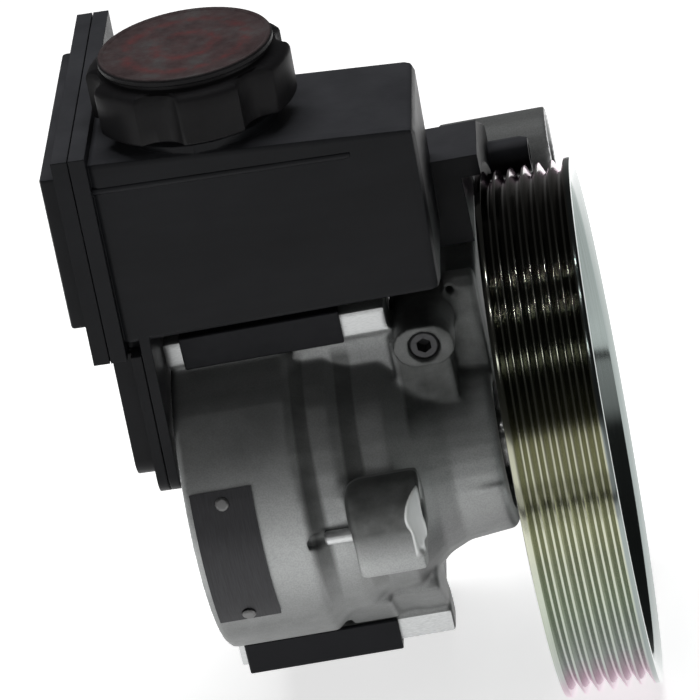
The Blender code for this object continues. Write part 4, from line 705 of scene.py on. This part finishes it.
def is_milled(centre, normal):
    """True where the cutter has faced the casting: rails, eye and rear face."""
    x, y, z = (value / MM for value in centre)
    rail = (normal.y < -0.9 and RAIL_FACE_Y[0] < y < RAIL_FACE_Y[1]
            and RAIL_FACE_Z[0] < abs(z) < RAIL_FACE_Z[1] and x < RAIL_END_X)
    eye = normal.x > 0.9 and x > EYE_FACE_X
    rear = normal.x < -0.9 and x < REAR_FACE_X
    return rail or eye or rear


def fillet_weight(x, y, z, reach):
    """How much a place on the casting is smoothed, where the barrel steps down to the nose."""
    if not FILLET_R[0] < reach < FILLET_R[1] or y >= FILLET_BACK_Y:
        return 0.0
    middle, half, fade = FILLET_X
    top, top_fade = FILLET_TOP
    along = max(0.0, 1 - max(0.0, abs(x - middle) - half) / fade)
    return along * max(0.0, min(1.0, (top - z) / top_fade))


def make_housing():
    """The casting with rounded edges and broad fillets where the barrel steps down to its nose."""
    piece = copy_of("pump_housing", "housing_cast")
    weld(piece)
    skin = piece.modifiers.new("skin", "REMESH")
    skin.mode = "VOXEL"
    skin.voxel_size = SKIN_VOXEL
    mesh = baked(piece)
    world = piece.matrix_world.copy()
    group = piece.vertex_groups.new(name="fillet")
    for vertex in mesh.vertices:
        x, y, z = (world @ vertex.co) / MM
        reach = math.hypot(y, z)
        if BARREL_X[0] < x < BARREL_X[1] and abs(reach - BARREL_R) < BARREL_FACET:
            y, z = y * BARREL_R / reach, z * BARREL_R / reach
            vertex.co = Vector((x, y, z)) * MM
        past = (Vector((x, y, z)) - BOSS_CORNER).dot(BOSS_SLANT)
        if (past > 0 and x > BOSS_BEYOND[0] and y < BOSS_BEYOND[1]
                and abs(z - BOSS_CORNER.z) < BOSS_REACH):
            vertex.co = (Vector((x, y, z)) - past * BOSS_SLANT) * MM
        weight = fillet_weight(x, y, z, reach)
        if weight > 0:
            group.add([vertex.index], weight, "REPLACE")
    for name, passes, where in (("edges", EDGE_PASSES, ""), ("fillet", FILLET_PASSES, "fillet")):
        smooth = piece.modifiers.new(name, "SMOOTH")
        smooth.factor = 0.5
        smooth.iterations = passes
        smooth.vertex_group = where
    thin = piece.modifiers.new("thin", "DECIMATE")
    count = sum(len(face.vertices) - 2 for face in mesh.polygons)
    thin.ratio = min(1.0, SKIN_FACES / count)
    mesh = baked(piece)
    mesh.materials.clear()
    mesh.materials.append(CAST)
    mesh.materials.append(MILLED)
    turn = world.to_3x3()
    for face in mesh.polygons:
        face.use_smooth = True
        face.material_index = int(is_milled(world @ face.center, turn @ face.normal))
    shade_smooth(piece)
    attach(piece, "pump")
    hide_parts("pump_housing")


def make_pin():
    """Ground pin that stands out between the first land and the bolt boss."""
    bm = bmesh.new()
    tube(bm, [circle(bm, radius, x, PIN_STEPS) for radius, x in PIN_PROFILE])
    place = Matrix.Translation((0, PIN_AT[0] * MM, PIN_AT[1] * MM)) @ ALONG_X
    piece = new_piece("locating_pin_ground", bm, place, MILLED, "pump")
    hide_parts("locating_pin")


def make_spring():
    """The flow valve's spring, copied in ground steel and carried on the pump."""
    piece = copy_of("flow_control_spring", "flow_spring_wound")
    mesh = piece.data
    mesh.materials.clear()
    mesh.materials.append(GROUND)
    for face in mesh.polygons:
        face.use_smooth = True
        face.material_index = 0
    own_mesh(piece)
    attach(piece, "pump")
    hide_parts("flow_control_spring")


def make_seam():
    """Weld bead that closes the joint between the reservoir's halves, just inside its edge."""
    bm = bmesh.new()
    y0, y1, z0, z1 = SEAM_YZ
    outer, inner = SEAM_INSET
    rings = []
    for inset, x in ((outer, SEAM_X[0]), (outer, SEAM_X[1]), (inner, SEAM_X[1]),
                     (inner, SEAM_X[0])):
        rings.append([bm.verts.new((x * MM, y * MM, z * MM)) for y, z in (
            (y0 + inset, z0 + inset), (y1 - inset, z0 + inset),
            (y1 - inset, z1 - inset), (y0 + inset, z1 - inset))])
    tube(bm, rings + rings[:1], ends=False)
    new_piece("reservoir_seam", bm, LEAN, RESERVOIR, "pump")


def make_ridge():
    """Fine raised line along the front of the reservoir, below its roof."""
    bm = bmesh.new()
    foot, crest = RIDGE_HALF
    rows = []
    for x, height in RIDGE_X:
        rows.append([bm.verts.new((x * MM, (FRONT_Y + y) * MM, z * MM)) for y, z in (
            (RIDGE_SINK, RIDGE_Z - foot), (-height, RIDGE_Z - crest),
            (-height, RIDGE_Z + crest), (RIDGE_SINK, RIDGE_Z + foot))])
    tube(bm, rows)
    new_piece("reservoir_ridge", bm, LEAN, RESERVOIR, "pump")


def scallop(angle, depth):
    """Radius of the cap's skirt at an angle, with round finger valleys cut into it."""
    radius = CAP_SKIRT_R
    reach = CAP_SKIRT_R + CAP_GRIP_R - CAP_GRIP_DEPTH
    for i in range(CAP_GRIPS):
        off = angle - CAP_GRIP_TURN - math.tau * i / CAP_GRIPS
        off = math.atan2(math.sin(off), math.cos(off))
        side = reach * math.sin(off)
        if abs(side) < CAP_GRIP_R and math.cos(off) > 0:
            wall = reach * math.cos(off) - math.sqrt(CAP_GRIP_R ** 2 - side ** 2)
            radius = min(radius, wall)
    return CAP_SKIRT_R - (CAP_SKIRT_R - radius) * depth


def skirt_ring(bm, radius, z, depth):
    """A ring of the skirt, with its valleys cut to a share of their depth."""
    ring = []
    for k in range(CAP_STEPS):
        angle = math.tau * k / CAP_STEPS
        r = scallop(angle, depth) - (CAP_SKIRT_R - radius)
        ring.append(bm.verts.new((r * MM * math.cos(angle), r * MM * math.sin(angle), z * MM)))
    return ring


def make_cap():
    """Screw cap: flat disc with a thin rim, a groove, and a skirt with six finger valleys."""
    # The disc by (radius, drop from the top), then the skirt by (radius, z, share of the valleys)
    disc = ((8.0, 0.5), (15.0, 0.5), (19.6, 0.5), (20.1, 0.45), (20.5, 0.1), (20.9, 0.0),
            (21.3, 0.15), (CAP_DISC_R, 0.6), (CAP_DISC_R, 1.5), (21.3, 1.9), (20.8, 2.1),
            (20.8, 2.8), (21.2, 3.1), (22.0, 3.3))
    skirt = ((23.4, CAP_TOP - 3.55, 0.75), (24.4, CAP_TOP - 3.9, 0.9),
             (24.95, CAP_TOP - 4.5, 1.0), (CAP_SKIRT_R, CAP_TOP - 5.3, 1.0),
             (CAP_SKIRT_R, CAP_TOP - 8.0, 1.0), (CAP_SKIRT_R, CAP_TOP - 12.0, 1.0),
             (CAP_SKIRT_R, CAP_SKIRT_Z + 0.6, 1.0), (24.9, CAP_SKIRT_Z + 0.15, 1.0),
             (24.4, CAP_SKIRT_Z, 1.0))
    bm = bmesh.new()
    rings = [circle(bm, radius, CAP_TOP - drop, CAP_STEPS) for radius, drop in disc]
    rings += [skirt_ring(bm, *row) for row in skirt]
    rings += [circle(bm, CAP_INSIDE_R, z, CAP_STEPS) for z in (CAP_SKIRT_Z, CAP_CEILING)]
    tube(bm, rings, ends=False)
    crown = bm.verts.new((0, 0, CAP_FACE_Z * MM))
    roof = bm.verts.new((0, 0, CAP_CEILING * MM))
    for k in range(CAP_STEPS):
        j = (k + 1) % CAP_STEPS
        bm.faces.new((crown, rings[0][k], rings[0][j]))
        bm.faces.new((roof, rings[-1][j], rings[-1][k]))
    place = LEAN @ Matrix.Translation((NECK_AT[0] * MM, NECK_AT[1] * MM, 0))
    piece = new_piece("filler_cap_moulded", bm, place, CAP, "cap")
    local = place.inverted()
    spots = [local @ vertex.co for vertex in piece.data.vertices]
    tag = piece.data.attributes.new("cap_radius", "FLOAT", "POINT")
    tag.data.foreach_set("value", [
        min(1.0, spot.to_2d().length / (CAP_PRINT_R * MM)) if spot.z > (CAP_TOP - 1) * MM
        else 1.0 for spot in spots])
    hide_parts("filler_cap")


def make_camera():
    """The photograph's viewpoint: a long lens above the nameplate side, rolled to the right."""
    forward = Vector((-math.sin(CAMERA_YAW) * math.cos(CAMERA_PITCH),
                      math.cos(CAMERA_YAW) * math.cos(CAMERA_PITCH), -math.sin(CAMERA_PITCH)))
    level = Vector((math.cos(CAMERA_YAW), math.sin(CAMERA_YAW), 0))
    above = level.cross(forward)
    right = level * math.cos(CAMERA_ROLL) - above * math.sin(CAMERA_ROLL)
    up = level * math.sin(CAMERA_ROLL) + above * math.cos(CAMERA_ROLL)
    place = Matrix((right, up, -forward)).transposed().to_4x4()
    place.translation = Vector(CAMERA_AT)
    lens = bpy.data.cameras.new("camera")
    lens.lens = LENS
    lens.sensor_width = SENSOR
    camera = linked("camera", lens)
    camera.matrix_world = place
    bpy.context.scene.camera = camera


def aimed(name, light, place, target):
    """Hangs a light at a place, turned to its target."""
    lamp = linked(name, light)
    lamp.location = place
    aim = Vector(target) - Vector(place)
    lamp.rotation_euler = aim.to_track_quat("-Z", "Y").to_euler()
    return lamp


def make_lamp(name, place, target, size, power):
    """A soft rectangular lamp."""
    light = bpy.data.lights.new(name, "AREA")
    light.shape = "RECTANGLE"
    light.size, light.size_y = size
    light.energy = power
    return aimed(name, light, place, target)


def make_spot(name, place, target, cone, power):
    """A soft-edged spot of light."""
    light = bpy.data.lights.new(name, "SPOT")
    light.spot_size = math.radians(cone)
    light.spot_blend = 0.6
    light.shadow_soft_size = 0.15
    light.energy = power
    return aimed(name, light, place, target)


def make_floor():
    """White table that keeps the pump's shadow."""
    x0, x1, y0, y1 = FLOOR
    mesh = bpy.data.meshes.new("floor")
    mesh.from_pydata([(x0, y0, FLOOR_Z), (x1, y0, FLOOR_Z), (x1, y1, FLOOR_Z), (x0, y1, FLOOR_Z)],
                     [], [(0, 1, 2, 3)])
    floor = linked("floor", mesh)
    m = Finish("floor_white", grey(0.80), 0.9)
    ray = m.node("ShaderNodeLightPath").outputs
    mirrored = m.math("MAXIMUM", ray["Is Glossy Ray"], ray["Is Transmission Ray"])
    glow = m.math("MAXIMUM", m.math("MULTIPLY", mirrored, FLOOR_GLOW),
                  m.math("MULTIPLY", ray["Is Camera Ray"], FLOOR_SEEN))
    m.shader.inputs["Emission Color"].default_value = (1, 1, 1, 1)
    m.link(glow, m.shader.inputs["Emission Strength"])
    mesh.materials.append(m.material)


def make_room():
    """Surroundings that are dark above and pale near the table, and white to the eye."""
    world = bpy.data.worlds.new("studio")
    bpy.context.scene.world = world
    world.use_nodes = True
    room = Tree(world.node_tree)
    _, y, z = room.parts(room.node("ShaderNodeTexCoord").outputs["Generated"])
    share = room.to_range(room.math("ARCTAN2", y, z), 0.0, 1.0, -math.pi, math.pi)
    glow = room.ramp(share, *((0.5 + degrees / 360, grey(value)) for degrees, value in ROOM))
    seen = room.node("ShaderNodeLightPath").outputs["Is Camera Ray"]
    background = world.node_tree.nodes["Background"]
    background.inputs["Color"].default_value = (1, 1, 1, 1)
    room.link(room.math("MAXIMUM", glow, seen), background.inputs["Strength"])


def make_lights():
    """Soft lamps above, in front and at the left, and two small ones that glint on the pulley."""
    overhead = make_lamp("overhead", (0.05, 0.30, 1.0), (0.05, 0.05, 0.0), (0.9, 0.5), 8.0)
    overhead.visible_glossy = False
    make_lamp("front_low", (-0.25, -1.1, 0.35), (0.03, 0.0, 0.0), (0.9, 0.4), 0.6)
    make_lamp("left", (-0.9, -0.1, 0.30), (0.0, 0.0, 0.0), (0.5, 0.5), 0.7)
    make_spot("table_front", (0.05, -0.75, 1.1), (0.05, -0.36, -0.07), 30, 5.0)
    for name, y in (("ceiling_1", 0.26), ("ceiling_2", -0.18)):
        make_lamp(name, (0.10, y, 1.5), (0.10, y, 0.0), (0.045, 0.045), 0.35)


bpy.context.scene.view_settings.view_transform = "Standard"
for node_name, node in NODES.items():
    dress(node, LOOKS.get(node_name, GROUND))
make_camera()
make_floor()
make_room()
make_lights()
make_housing()
make_pin()
make_ridge()
make_seam()
make_spring()
make_pulley()
make_cap()
